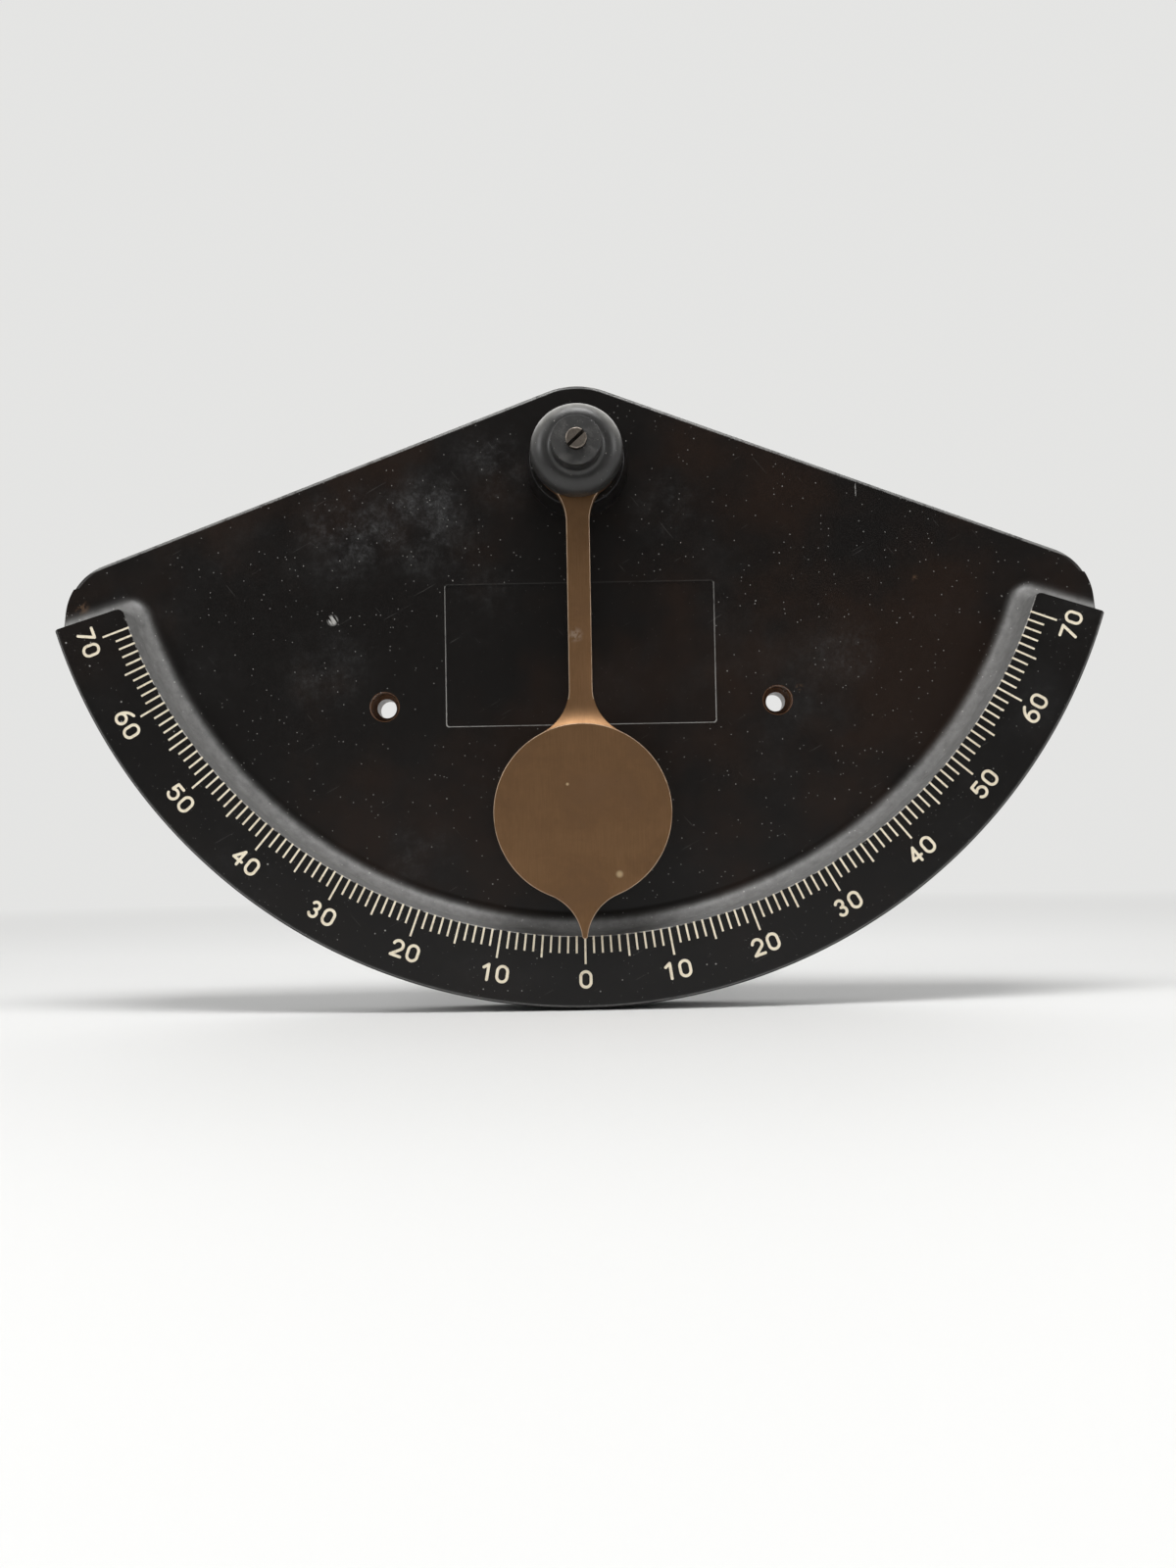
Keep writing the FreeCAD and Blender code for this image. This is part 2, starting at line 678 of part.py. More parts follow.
def bob_edges(y):
    """Return the outline of the pendulum's round bob and its pointer."""
    centre = pivot_point(y) + Vector(0, 0, -BOB_DROP)
    side = BLEND_R + POINTER_NECK / 2
    drop = math.sqrt((BOB_R + BLEND_R) ** 2 - side ** 2)
    hollow = centre + Vector(side, 0, -drop)
    tangent = centre + (hollow - centre).normalize() * BOB_R
    tip = pivot_point(y) + Vector(0, 0, -POINTER_R)
    rise = tip.z + POINTER_ROUND - hollow.z
    neck = hollow + Vector(-math.sqrt(BLEND_R ** 2 - rise ** 2), 0, rise)
    chord = ((tangent - hollow).normalize() + (neck - hollow).normalize()).normalize()
    bend = hollow + chord * BLEND_R

    return [
        arc(mirrored(tangent), centre + Vector(0, 0, BOB_R), tangent),
        arc(tangent, bend, neck),
        arc(neck, tip, mirrored(neck)),
        arc(mirrored(neck), mirrored(bend), mirrored(tangent)),
    ]


def arm_edges(y):
    """Return the outline of the arm with its flares into the hub and into the bob."""
    half = ARM_WIDTH / 2
    side = half + BLEND_R
    hub = pivot_point(y)
    bob = hub + Vector(0, 0, -BOB_DROP)
    upper = hub + Vector(side, 0, -math.sqrt((HUB_R + BLEND_R) ** 2 - side ** 2))
    lower = bob + Vector(side, 0, math.sqrt((BOB_R + BLEND_R) ** 2 - side ** 2))
    inward = Vector(-1, 0, 0)

    def flare(centre, disc, disc_r):
        touch = disc + (centre - disc).normalize() * disc_r
        waist = centre + inward * BLEND_R
        towards = ((touch - centre).normalize() + inward).normalize()
        return touch, centre + towards * BLEND_R, waist

    hub_touch, hub_bend, hub_waist = flare(upper, hub, HUB_R)
    bob_touch, bob_bend, bob_waist = flare(lower, bob, BOB_R)
    return [
        arc(hub_touch, hub_bend, hub_waist),
        line(hub_waist, bob_waist),
        arc(bob_waist, bob_bend, bob_touch),
        arc(bob_touch, bob + Vector(0, 0, -BOB_R / 2), mirrored(bob_touch)),
        arc(mirrored(bob_touch), mirrored(bob_bend), mirrored(bob_waist)),
        line(mirrored(bob_waist), mirrored(hub_waist)),
        arc(mirrored(hub_waist), mirrored(hub_bend), mirrored(hub_touch)),
        arc(mirrored(hub_touch), hub + Vector(0, 0, HUB_R / 2), hub_touch),
    ]


def chamfered_front(solid, size, place, radii):
    """Return a flat piece with a small chamfer along the straight and round edges of its front.

    Only arcs of the given radii are cut, so that an arc which another piece covers stays whole.
    """
    edges = []
    for edge in front_edges(solid, place):
        is_arc = isinstance(edge.Curve, Part.Circle)
        if not is_arc or any(abs(edge.Curve.Radius - radius) < SAME for radius in radii):
            edges.append(edge)
    return solid.makeChamfer(size, edges)


def bob_ramp():
    """Return the hollow-faced ramp that leads from the arm's face up to the bob's edge."""
    centre = pivot_point() + Vector(0, 0, -BOB_DROP)
    rise = BOB_THICKNESS - ARM_THICKNESS - PENDULUM_CHAMFER
    turn = math.acos((RAMP_R - rise) / RAMP_R)
    run = RAMP_R * math.sin(turn)

    def at(radius, height):
        return Vector(radius, ARM_FACE - height, centre.z)

    base = -PENDULUM_CHAMFER
    foot = at(BOB_R + run, 0)
    bend = at(BOB_R + run - RAMP_R * math.sin(turn / 2), RAMP_R * (1 - math.cos(turn / 2)))
    top = at(BOB_R, rise)
    inside = BOB_R - 2 * PENDULUM_CHAMFER
    face = Part.Face(Part.Wire([
        line(at(inside, base), at(BOB_R + run, base)),
        line(at(BOB_R + run, base), foot),
        arc(foot, bend, top),
        line(top, at(inside, rise)),
        line(at(inside, rise), at(inside, base)),
    ]))
    ring = face.revolve(centre, Vector(0, 1, 0), 360)
    return ring.common(prism(arm_edges(PENDULUM_BACK), BOB_THICKNESS))


def pendulum():
    """Return the pendulum: hub with its bearing seat, arm, ramp, bob and pointer."""
    arm = prism(arm_edges(PENDULUM_BACK), ARM_THICKNESS)
    arm = chamfered_front(arm, PENDULUM_CHAMFER, ARM_FACE, [BLEND_R])
    bob = prism(bob_edges(PENDULUM_BACK), BOB_THICKNESS)
    bob = chamfered_front(bob, PENDULUM_CHAMFER, BOB_FACE, [BOB_R, BLEND_R])
    hub = rod(HUB_R, HUB_BACK, ARM_FACE)
    solid = bob.fuse([arm, bob_ramp(), hub]).removeSplitter()
    seat = rod(BEARING_OUTER_R, BEARING_BACK, ARM_FACE - 1)
    return solid.cut([seat, rod(HUB_LIP_BORE_R, HUB_BACK + 1, ARM_FACE - 1)])


def bearing_washer():
    """Return the washer between the inner race and the nut."""
    return rod(WASHER_R, BEARING_FACE, WASHER_FACE).cut(
        rod(STUD_END_R + THREAD_RELIEF, BEARING_FACE + 1, WASHER_FACE - 1))


def pivot_nut():
    """Return the thin hexagon nut that holds the bearing on the stud."""
    corner = NUT_FLATS / 2 / math.cos(math.radians(30))
    points = [polar(corner, 60 * index, WASHER_FACE) for index in range(6)]
    nut = Part.Face(Part.makePolygon(points + points[:1])).extrude(OUTWARD * NUT_THICKNESS)
    cone = turned([
        (0, WASHER_FACE),
        (corner, WASHER_FACE),
        (corner, NUT_FACE + NUT_CHAMFER),
        (corner - 2 * NUT_CHAMFER, NUT_FACE),
        (0, NUT_FACE),
    ])
    return nut.common(cone).cut(rod(STUD_END_R + THREAD_RELIEF, WASHER_FACE + 1, NUT_FACE - 1))


def pivot_cap():
    """Return the bell-shaped cap with its round nose, hollow behind and bored for its screw."""
    foot_start = CAP_NOSE_R + CAP_NOSE_FOOT_R
    shoulder_r = CAP_R - foot_start
    shoulder_start = CAP_SHOULDER + shoulder_r
    slant = shoulder_r * math.sqrt(0.5)
    foot_end = CAP_SHOULDER - CAP_NOSE_FOOT_R
    hollow = CAP_NOSE_FOOT_R * QUARTER_BEND
    chamfer_start = NOSE_FACE + CAP_NOSE_CHAMFER

    def at(radius, y):
        return Vector(radius, y, PIVOT_HEIGHT)

    edges = [
        line(at(0, CAP_BACK), at(CAP_R + CAP_FLARE, CAP_BACK)),
        line(at(CAP_R + CAP_FLARE, CAP_BACK), at(CAP_R, shoulder_start)),
        arc(at(CAP_R, shoulder_start), at(foot_start + slant, shoulder_start - slant),
            at(foot_start, CAP_SHOULDER)),
        arc(at(foot_start, CAP_SHOULDER), at(CAP_NOSE_R + hollow, CAP_SHOULDER - hollow),
            at(CAP_NOSE_R, foot_end)),
        line(at(CAP_NOSE_R, foot_end), at(CAP_NOSE_R, chamfer_start)),
        line(at(CAP_NOSE_R, chamfer_start), at(CAP_NOSE_R - CAP_NOSE_CHAMFER, NOSE_FACE)),
        line(at(CAP_NOSE_R - CAP_NOSE_CHAMFER, NOSE_FACE), at(0, NOSE_FACE)),
        line(at(0, NOSE_FACE), at(0, CAP_BACK)),
    ]
    bell = Part.Face(Part.Wire(edges)).revolve(pivot_point(), Vector(0, 1, 0), 360)
    inside = rod(CAP_R - CAP_WALL, CAP_BACK + 1, STUD_END)
    bore = rod(SCREW_SHANK_R + CAP_SCREW_CLEARANCE, CAP_BACK + 1, NOSE_FACE - 1)
    return bell.cut([inside, bore])


def cap_screw():
    """Return the slotted screw that holds the cap on the stud."""
    face = NOSE_FACE - SCREW_HEAD_HEIGHT
    screw = turned([
        (0, STUD_END + SCREW_REACH),
        (SCREW_SHANK_R, STUD_END + SCREW_REACH),
        (SCREW_SHANK_R, NOSE_FACE),
        (SCREW_HEAD_R, NOSE_FACE),
        (SCREW_HEAD_R, face + SCREW_HEAD_ROUND),
        (SCREW_HEAD_R - SCREW_HEAD_ROUND * QUARTER_BEND, face + SCREW_HEAD_ROUND * QUARTER_BEND),
        (SCREW_HEAD_R - SCREW_HEAD_ROUND, face),
        (0, face),
    ])
    slot = Part.makeBox(3 * SCREW_HEAD_R, 2 * SCREW_SLOT_DEPTH, SCREW_SLOT_WIDTH,
                        Vector(-1.5 * SCREW_HEAD_R, face - SCREW_SLOT_DEPTH,
                               PIVOT_HEIGHT - SCREW_SLOT_WIDTH / 2))
    slot.rotate(pivot_point(), Vector(0, 1, 0), -SCREW_SLOT_DEG)
    return screw.cut(slot)


def save(name, shape):
    """Write one node's STEP file and print what it holds."""
    solids = shape.Solids
    whole = solids[0] if len(solids) == 1 else Part.makeCompound(solids)
    whole.exportStep("parts/" + name + ".step")
    print(name, len(solids), "solids,", round(whole.Volume, 2), "mm3, valid", whole.isValid())


def main():
    """Build every piece and write it to its own file."""
    os.makedirs("parts", exist_ok=True)
    body, marks, figures = dial_parts()
    save("dial_body", body)
    save("scale_graduations", marks)
    save("scale_numerals", figures)
    save("pivot_insert", pivot_insert())
    save("pivot_stud", pivot_stud())
    save("bearing_inner_race", race_ring(BEARING_BORE_R, BEARING_BORE_R + RACE_LAND))
    save("bearing_outer_race", race_ring(BEARING_OUTER_R - RACE_LAND, BEARING_OUTER_R))
    save("bearing_cage", bearing_cage())
    for index in range(BALL_COUNT):
        save("bearing_ball_" + str(index + 1), Part.makeSphere(BALL_R, ball_centre(index)))
    save("bearing_washer", bearing_washer())
    save("pivot_nut", pivot_nut())
    save("pendulum", pendulum())
    save("pivot_cap", pivot_cap())
    save("cap_screw", cap_screw())


main()
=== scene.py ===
"""The looks of a bulkhead inclinometer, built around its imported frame.

The moulded dial body, the pendulum, the cap and its screw are modelled here as by hand. The paint in
the scale and the pieces behind the cap stay as they are in the frame, and get their finishes here.
Lengths are in metres. +Z is up and the dial faces -Y. Angles on the dial count from straight down.
"""

import json
import logging
import math
from dataclasses import dataclass, field
from enum import Enum
from typing import Any, Callable, Iterable, Optional, Union

import bmesh
import bpy
from mathutils import Matrix, Vector

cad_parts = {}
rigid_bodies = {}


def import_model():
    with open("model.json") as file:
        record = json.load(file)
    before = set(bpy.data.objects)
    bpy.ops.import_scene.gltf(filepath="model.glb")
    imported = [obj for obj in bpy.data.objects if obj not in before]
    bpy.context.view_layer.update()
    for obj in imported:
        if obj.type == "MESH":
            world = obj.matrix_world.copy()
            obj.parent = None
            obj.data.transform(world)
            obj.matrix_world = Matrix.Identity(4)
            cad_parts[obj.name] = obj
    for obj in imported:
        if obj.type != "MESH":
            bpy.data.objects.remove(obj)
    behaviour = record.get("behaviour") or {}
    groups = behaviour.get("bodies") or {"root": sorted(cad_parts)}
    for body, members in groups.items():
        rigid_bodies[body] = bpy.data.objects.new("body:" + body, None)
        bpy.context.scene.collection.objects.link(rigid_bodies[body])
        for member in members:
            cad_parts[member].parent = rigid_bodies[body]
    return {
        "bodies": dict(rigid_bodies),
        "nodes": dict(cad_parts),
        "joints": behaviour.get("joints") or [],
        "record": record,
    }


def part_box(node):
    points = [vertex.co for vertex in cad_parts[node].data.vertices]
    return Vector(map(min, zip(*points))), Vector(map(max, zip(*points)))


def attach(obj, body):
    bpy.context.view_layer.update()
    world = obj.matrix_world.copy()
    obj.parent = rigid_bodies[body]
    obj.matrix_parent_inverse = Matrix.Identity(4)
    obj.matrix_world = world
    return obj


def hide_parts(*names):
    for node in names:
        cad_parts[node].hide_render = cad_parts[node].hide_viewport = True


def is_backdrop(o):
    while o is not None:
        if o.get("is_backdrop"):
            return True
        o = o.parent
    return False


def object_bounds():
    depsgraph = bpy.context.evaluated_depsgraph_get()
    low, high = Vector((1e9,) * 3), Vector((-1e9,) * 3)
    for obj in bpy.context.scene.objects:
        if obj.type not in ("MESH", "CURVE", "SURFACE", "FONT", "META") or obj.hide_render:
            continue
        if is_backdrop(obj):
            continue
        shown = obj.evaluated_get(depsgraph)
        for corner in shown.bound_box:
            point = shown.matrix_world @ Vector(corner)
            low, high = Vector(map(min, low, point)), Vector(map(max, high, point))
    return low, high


LOG = logging.getLogger("inclinometer")
MM = 0.001

Point = tuple[float, float]
Colour = tuple[float, float, float]
Number = Union[float, "Value"]


class Body(Enum):
    """The bodies that the new pieces ride on."""

    DIAL = "mounted_dial"
    PENDULUM = "swinging_pendulum"


class Cut(Enum):
    """What a boolean does with its tool."""

    JOIN = "UNION"
    REMOVE = "DIFFERENCE"
    KEEP = "INTERSECT"


class Value:
    """A shader socket that can stand in an expression."""

    def __init__(self, recipe: "Recipe", socket: bpy.types.NodeSocket) -> None:
        """Wrap one output socket of a recipe."""
        self.recipe = recipe
        self.socket = socket

    def _math(self, operation: str, first: Number, second: Number) -> "Value":
        """Return a Math node's result."""
        made = self.recipe.node("ShaderNodeMath", {"operation": operation}, {0: first, 1: second})
        return Value(self.recipe, made.outputs[0])

    def __add__(self, other: Number) -> "Value":
        """Return this plus other."""
        return self._math("ADD", self, other)

    def __radd__(self, other: Number) -> "Value":
        """Return other plus this."""
        return self._math("ADD", other, self)

    def __sub__(self, other: Number) -> "Value":
        """Return this minus other."""
        return self._math("SUBTRACT", self, other)

    def __rsub__(self, other: Number) -> "Value":
        """Return other minus this."""
        return self._math("SUBTRACT", other, self)

    def __mul__(self, other: Number) -> "Value":
        """Return this times other."""
        return self._math("MULTIPLY", self, other)

    def __rmul__(self, other: Number) -> "Value":
        """Return other times this."""
        return self._math("MULTIPLY", other, self)

    def clamped(self) -> "Value":
        """Return this held between nothing and one."""
        made = self.recipe.node("ShaderNodeClamp", {}, {"Value": self})
        return Value(self.recipe, made.outputs[0])


class Recipe:
    """One material's nodes, added one at a time."""

    def __init__(self, name: str) -> None:
        """Start an empty material.

        Args:
            name: The material's name.
        """
        self.material = bpy.data.materials.new(name)
        self.material.use_nodes = True
        self.tree = self.material.node_tree
        self.tree.nodes.clear()
        place = self.node("ShaderNodeTexCoord")
        self.place = Value(self, place.outputs["Object"])

    def node(self, kind: str, settings: Optional[dict[str, Any]] = None,
             inputs: Optional[dict[Union[int, str], Any]] = None) -> bpy.types.Node:
        """Add a node, make its settings and then fill its sockets.

        Args:
            kind: The node's type.
            settings: Attributes of the node.
            inputs: A value or a link for each named or numbered socket.

        Returns:
            The new node.
        """
        made = self.tree.nodes.new(kind)
        for name, setting in (settings or {}).items():
            setattr(made, name, setting)
        for key, value in (inputs or {}).items():
            if isinstance(value, Value):
                self.tree.links.new(value.socket, made.inputs[key])
            else:
                made.inputs[key].default_value = value
        return made

    def stretched(self, scale: tuple[float, float, float], turn: float = 0.0) -> Value:
        """Return the place, turned about Y and then stretched along each axis.

        Args:
            scale: How far each axis is stretched.
            turn: The turn in radians.

        Returns:
            The place, turned about Y and then stretched along each axis.
        """
        turned = self.node("ShaderNodeMapping", {}, {"Vector": self.place, "Rotation": (0.0, turn, 0.0)})
        made = self.node("ShaderNodeMapping", {}, {"Vector": Value(self, turned.outputs[0]), "Scale": scale})
        return Value(self, made.outputs[0])

    def noise(self, scale: float, detail: float = 4.0, rough: float = 0.55,
              place: Optional[Value] = None, warp: float = 0.0) -> Value:
        """Return a noise with features of about 1 / scale metres.

        Args:
            scale: Features to the metre.
            detail: How many finer layers it has.
            rough: How strong the finer layers are.
            place: The place to read, or the object's.
            warp: How far it is warped.

        Returns:
            A noise with features of about 1 / scale metres.
        """
        made = self.node("ShaderNodeTexNoise", {}, {
            "Vector": place or self.place, "Scale": scale, "Detail": detail, "Roughness": rough,
            "Distortion": warp})
        return Value(self, made.outputs["Fac"])

    def cells(self, scale: float, place: Optional[Value] = None) -> Value:
        """Return the distance to the nearest of many scattered points."""
        made = self.node("ShaderNodeTexVoronoi", {}, {"Vector": place or self.place, "Scale": scale})
        return Value(self, made.outputs["Distance"])

    def scattered(self, scale: float, share: float, size: float) -> Value:
        """Return small specks of uneven size, in a share of the cells of a scattered grid.

        Args:
            scale: Cells to the metre.
            share: The share of cells with a speck.
            size: The largest speck's radius, as a share of a cell.

        Returns:
            Small specks of uneven size, in a share of the cells of a scattered grid.
        """
        made = self.node("ShaderNodeTexVoronoi", {}, {"Vector": self.place, "Scale": scale})
        chance = self.node("ShaderNodeSeparateXYZ", {}, {0: Value(self, made.outputs["Color"])})
        reach = Value(self, chance.outputs["Y"]) * size
        inside = (reach - Value(self, made.outputs["Distance"])) * (3.0 / size)
        picked = self.band(Value(self, chance.outputs["X"]), 1.0 - share, 1.001 - share)
        return inside.clamped() * picked

    def reach(self, centre: Point) -> Value:
        """Return the distance from an axis along Y.

        Args:
            centre: The axis, as X and Z.

        Returns:
            The distance from an axis along Y.
        """
        flat = self.node("ShaderNodeVectorMath", {"operation": "MULTIPLY"},
                         {0: self.place, 1: (1.0, 0.0, 1.0)})
        made = self.node("ShaderNodeVectorMath", {"operation": "DISTANCE"},
                         {0: Value(self, flat.outputs["Vector"]), 1: (centre[0], 0.0, centre[1])})
        return Value(self, made.outputs["Value"])

    def band(self, value: Value, low: float, high: float, start: float = 0.0, end: float = 1.0) -> Value:
        """Return value's stretch from low to high as a smooth step from start to end.

        Args:
            value: The value to read.
            low: Where the step starts.
            high: Where the step ends.
            start: The result below low.
            end: The result above high.

        Returns:
            Value's stretch from low to high as a smooth step from start to end.
        """
        made = self.node("ShaderNodeMapRange", {"interpolation_type": "SMOOTHSTEP"}, {
            "Value": value, "From Min": low, "From Max": high, "To Min": start, "To Max": end})
        return Value(self, made.outputs[0])

    def near(self, centre: tuple[float, float, float], inner: float, outer: float) -> Value:
        """Return one within inner of a point, fading to nothing at outer."""
        made = self.node("ShaderNodeVectorMath", {"operation": "DISTANCE"}, {0: self.place, 1: centre})
        return self.band(Value(self, made.outputs["Value"]), inner, outer, 1.0, 0.0)

    def axis(self, name: str) -> Value:
        """Return one coordinate of the place."""
        made = self.node("ShaderNodeSeparateXYZ", {}, {0: self.place})
        return Value(self, made.outputs[name])

    def mix(self, factor: Number, first: Union[Colour, Value], second: Union[Colour, Value]) -> Value:
        """Return a colour between two colours.

        Args:
            factor: The share of the second colour.
            first: The first colour.
            second: The second colour.

        Returns:
            A colour between two colours.
        """
        def opaque(colour: Union[Colour, Value]) -> Any:
            """Return a colour as a socket takes it."""
            return colour if isinstance(colour, Value) else (*colour, 1.0)

        made = self.node("ShaderNodeMix", {"data_type": "RGBA"},
                         {0: factor, 6: opaque(first), 7: opaque(second)})
        return Value(self, made.outputs[2])

    def bump(self, height: Value, distance: float, strength: float = 1.0,
             over: Optional[Value] = None) -> Value:
        """Return a normal raised by a height.

        Args:
            height: The height.
            distance: How far it raises the surface.
            strength: How much of it counts.
            over: A normal that it is added to.

        Returns:
            A normal raised by a height.
        """
        inputs = {"Height": height, "Distance": distance, "Strength": strength}
        if over:
            inputs["Normal"] = over
        made = self.node("ShaderNodeBump", {}, inputs)
        return Value(self, made.outputs[0])

    def finish(self, **sockets: Any) -> bpy.types.Material:
        """Add the shader with its sockets, and return the material.

        Args:
            **sockets: Values or links by socket name, with _ for a space.

        Returns:
            The finished material.
        """
        inputs = {name.replace("_", " "): value for name, value in sockets.items()}
        for name in ("Base Color", "Emission Color"):
            if isinstance(inputs.get(name), tuple):
                inputs[name] = (*inputs[name], 1.0)
        shader = self.node("ShaderNodeBsdfPrincipled", {}, inputs)
        self.node("ShaderNodeOutputMaterial", {}, {"Surface": Value(self, shader.outputs[0])})
        return self.material


class Sky(Recipe):
    """The world's nodes, added in the same way as a material's."""

    def __init__(self, name: str) -> None:
        """Start an empty world and make it the scene's.

        Args:
            name: The world's name.
        """
        world = bpy.data.worlds.new(name)
        bpy.context.scene.world = world
        world.use_nodes = True
        self.tree = world.node_tree
        self.tree.nodes.clear()
        place = self.node("ShaderNodeTexCoord")
        self.place = Value(self, place.outputs["Generated"])


@dataclass(frozen=True)
class Haze:
    """One cloudy patch on the moulding's face, partly haze and partly a painted reflection."""

    x: float
    z: float
    radius: float
    strength: float


@dataclass(frozen=True)
class MouldedPhenolic:
    """Aged black phenolic: satin, hazy in patches, dusty and finely scratched, with painted highlights on its
    walls and edges and a painted reflection in its haze.
    """

    plate_face: float
    rim_face: float
    pivot: Point
    scale_radius: float
    rim_radius: float
    hole_spots: tuple[Point, ...]
    panel: tuple[float, float, float]
    apex: tuple[float, float]
    hole_reach: float = 3.95 * MM
    colour: Colour = (0.0050, 0.0046, 0.0044)
    brown: Colour = (0.0150, 0.0080, 0.0050)
    haze_and_reflection_colour: Colour = (0.082, 0.083, 0.084)
    dust_and_highlight_colour: Colour = (0.270, 0.268, 0.262)
    resin_colour: Colour = (0.125, 0.058, 0.026)
    wear_and_highlight_colour: Colour = (0.100, 0.060, 0.036)
    dust_and_sheen_colour: Colour = (0.46, 0.45, 0.43)
    roughness: float = 0.31
    gloss: float = 0.26
    scuff: Point = (-64.0 * MM, 22.7 * MM)
    crack: Point = (72.2 * MM, 54.4 * MM)
    # The second chip, a lighter patch at the left end of the rim, is partly wear and partly a painted
    # highlight of the cove.
    chips: tuple[tuple[float, float, float], ...] = ((87.0 * MM, 31.0 * MM, 1.1 * MM),
                                                     (-129.0 * MM, 27.0 * MM, 2.6 * MM),
                                                     (56.5 * MM, 3.0 * MM, 1.4 * MM))
    # The strongest patches, on the plate's upper left, are partly a painted reflection.
    patches: tuple[Haze, ...] = (
        Haze(-59.5 * MM, 44.6 * MM, 17 * MM, 0.90), Haze(-38 * MM, 47 * MM, 18 * MM, 1.0),
        Haze(-21 * MM, 61 * MM, 14 * MM, 0.60), Haze(-66 * MM, 10 * MM, 16 * MM, 0.42),
        Haze(-42 * MM, -39 * MM, 14 * MM, 0.38), Haze(24 * MM, 50 * MM, 14 * MM, 0.42),
        Haze(69 * MM, 13 * MM, 11 * MM, 0.42), Haze(-24 * MM, 26 * MM, 15 * MM, 0.30))

    def material(self) -> bpy.types.Material:
        """Return the dial body's material.

        Returns:
            The dial body's material.
        """
        recipe = Recipe("moulded_phenolic")
        fine = recipe.noise(420.0, 6.0, 0.7)
        haze = self._haze(recipe)
        walls = self._walls(recipe)
        specks = (recipe.scattered(900.0, 0.6, 0.17) * 0.5 + recipe.scattered(520.0, 0.35, 0.14) * 0.85
                  + recipe.scattered(700.0, 0.6, 0.2) * walls * 0.7).clamped()
        scratches = self._scratches(recipe)
        brown = recipe.band(recipe.noise(17.0, 4.0, 0.6), 0.44, 0.64, 0.1, 0.85)
        base = recipe.mix(brown * recipe.band(recipe.axis("Y"), self.rim_face, self.plate_face, 0.3, 1.0),
                          self.colour, self.brown)
        # Light grey patches: partly haze, partly a painted reflection.
        base = recipe.mix(haze * 0.9, base, self.haze_and_reflection_colour)
        # The rim's walls and coves are painted light grey: partly dust, partly a painted highlight.
        base = recipe.mix((walls * (0.6 + (fine - 0.5) * 0.8)).clamped(), base, self.dust_and_highlight_colour)
        # The top edges are painted lighter: partly rubbed, partly a painted highlight.
        base = recipe.mix(self._top_edges(recipe, fine) * 0.6, base, self.dust_and_highlight_colour)
        # Worn chips; the one at the rim's left end is partly a painted highlight.
        for x, z, size in self.chips:
            worn = recipe.near((x, self.plate_face, z), size * 0.2, size) * recipe.band(fine, 0.45, 0.55)
            base = recipe.mix(worn * 0.7, base, self.wear_and_highlight_colour)
        base = self._add_holes(recipe, base)
        # The marks are scratches, a scuff and the lip's wear, with the panel's painted highlight and shade.
        marks = (scratches * 0.05 + self._scuff(recipe) * 0.8 + self._lip(recipe, fine) * 0.8
                 + self._panel_edge(recipe, fine) * 0.6)
        base = recipe.mix(marks.clamped(), base, self.dust_and_sheen_colour)
        base = recipe.mix(specks * 0.75, base, self.dust_and_sheen_colour)
        rough = (self.roughness + haze * 0.24 + walls * 0.10 + (fine - 0.5) * 0.14 + specks * 0.3).clamped()
        skin = recipe.bump(recipe.noise(900.0, 4.0, 0.6), 0.012 * MM, 0.5)
        marked = recipe.bump(1.0 - scratches, 0.01 * MM, 0.3, over=skin)
        return recipe.finish(Base_Color=base, Roughness=rough, Normal=marked, IOR=1.56,
                             Specular_IOR_Level=self.gloss)

    def _haze(self, recipe: Recipe) -> Value:
        """Return the cloudy patches, broken up by two noises; the strongest, on the plate's upper left, are
        partly a painted reflection.

        Args:
            recipe: The recipe that the nodes go into.

        Returns:
            The cloudy patches, broken up by two noises, partly haze and partly a painted reflection.
        """
        total: Number = 0.0
        for patch in self.patches:
            spot = recipe.near((patch.x, self.plate_face, patch.z), patch.radius * 0.1, patch.radius)
            total = spot * patch.strength + total
        grain = recipe.band(recipe.noise(520.0, 8.0, 0.8), 0.44, 0.66)
        mottle = recipe.band(recipe.noise(120.0, 8.0, 0.8), 0.38, 0.64) * (grain * 0.75 + 0.25)
        cloud = recipe.band(recipe.noise(40.0, 5.0, 0.6), 0.38, 0.60, 0.25, 1.0)
        film = recipe.band(recipe.noise(24.0, 6.0, 0.66), 0.5, 0.78) * (grain * 0.6 + 0.4)
        return (total * mottle * cloud + film * 0.16).clamped()

    def _walls(self, recipe: Recipe) -> Value:
        """Return the rim's inner wall, its ends and their coves, where dust has settled and a highlight is
        painted.

        Args:
            recipe: The recipe that the nodes go into.

        Returns:
            The rim's inner wall, its ends and their coves, where dust has settled and a highlight is painted.
        """
        place = recipe.axis("Y")
        reach = recipe.reach(self.pivot)
        behind = recipe.band(place, self.rim_face + 0.03 * MM, self.rim_face + 0.3 * MM)
        before = recipe.band(place, self.plate_face - 1.2 * MM, self.plate_face - 0.02 * MM, 1.0, 0.0)
        inside = recipe.band(reach, self.rim_radius - 0.5 * MM, self.rim_radius - 0.3 * MM, 1.0, 0.0)
        return behind * before * inside * recipe.band(reach, 30 * MM, 60 * MM)

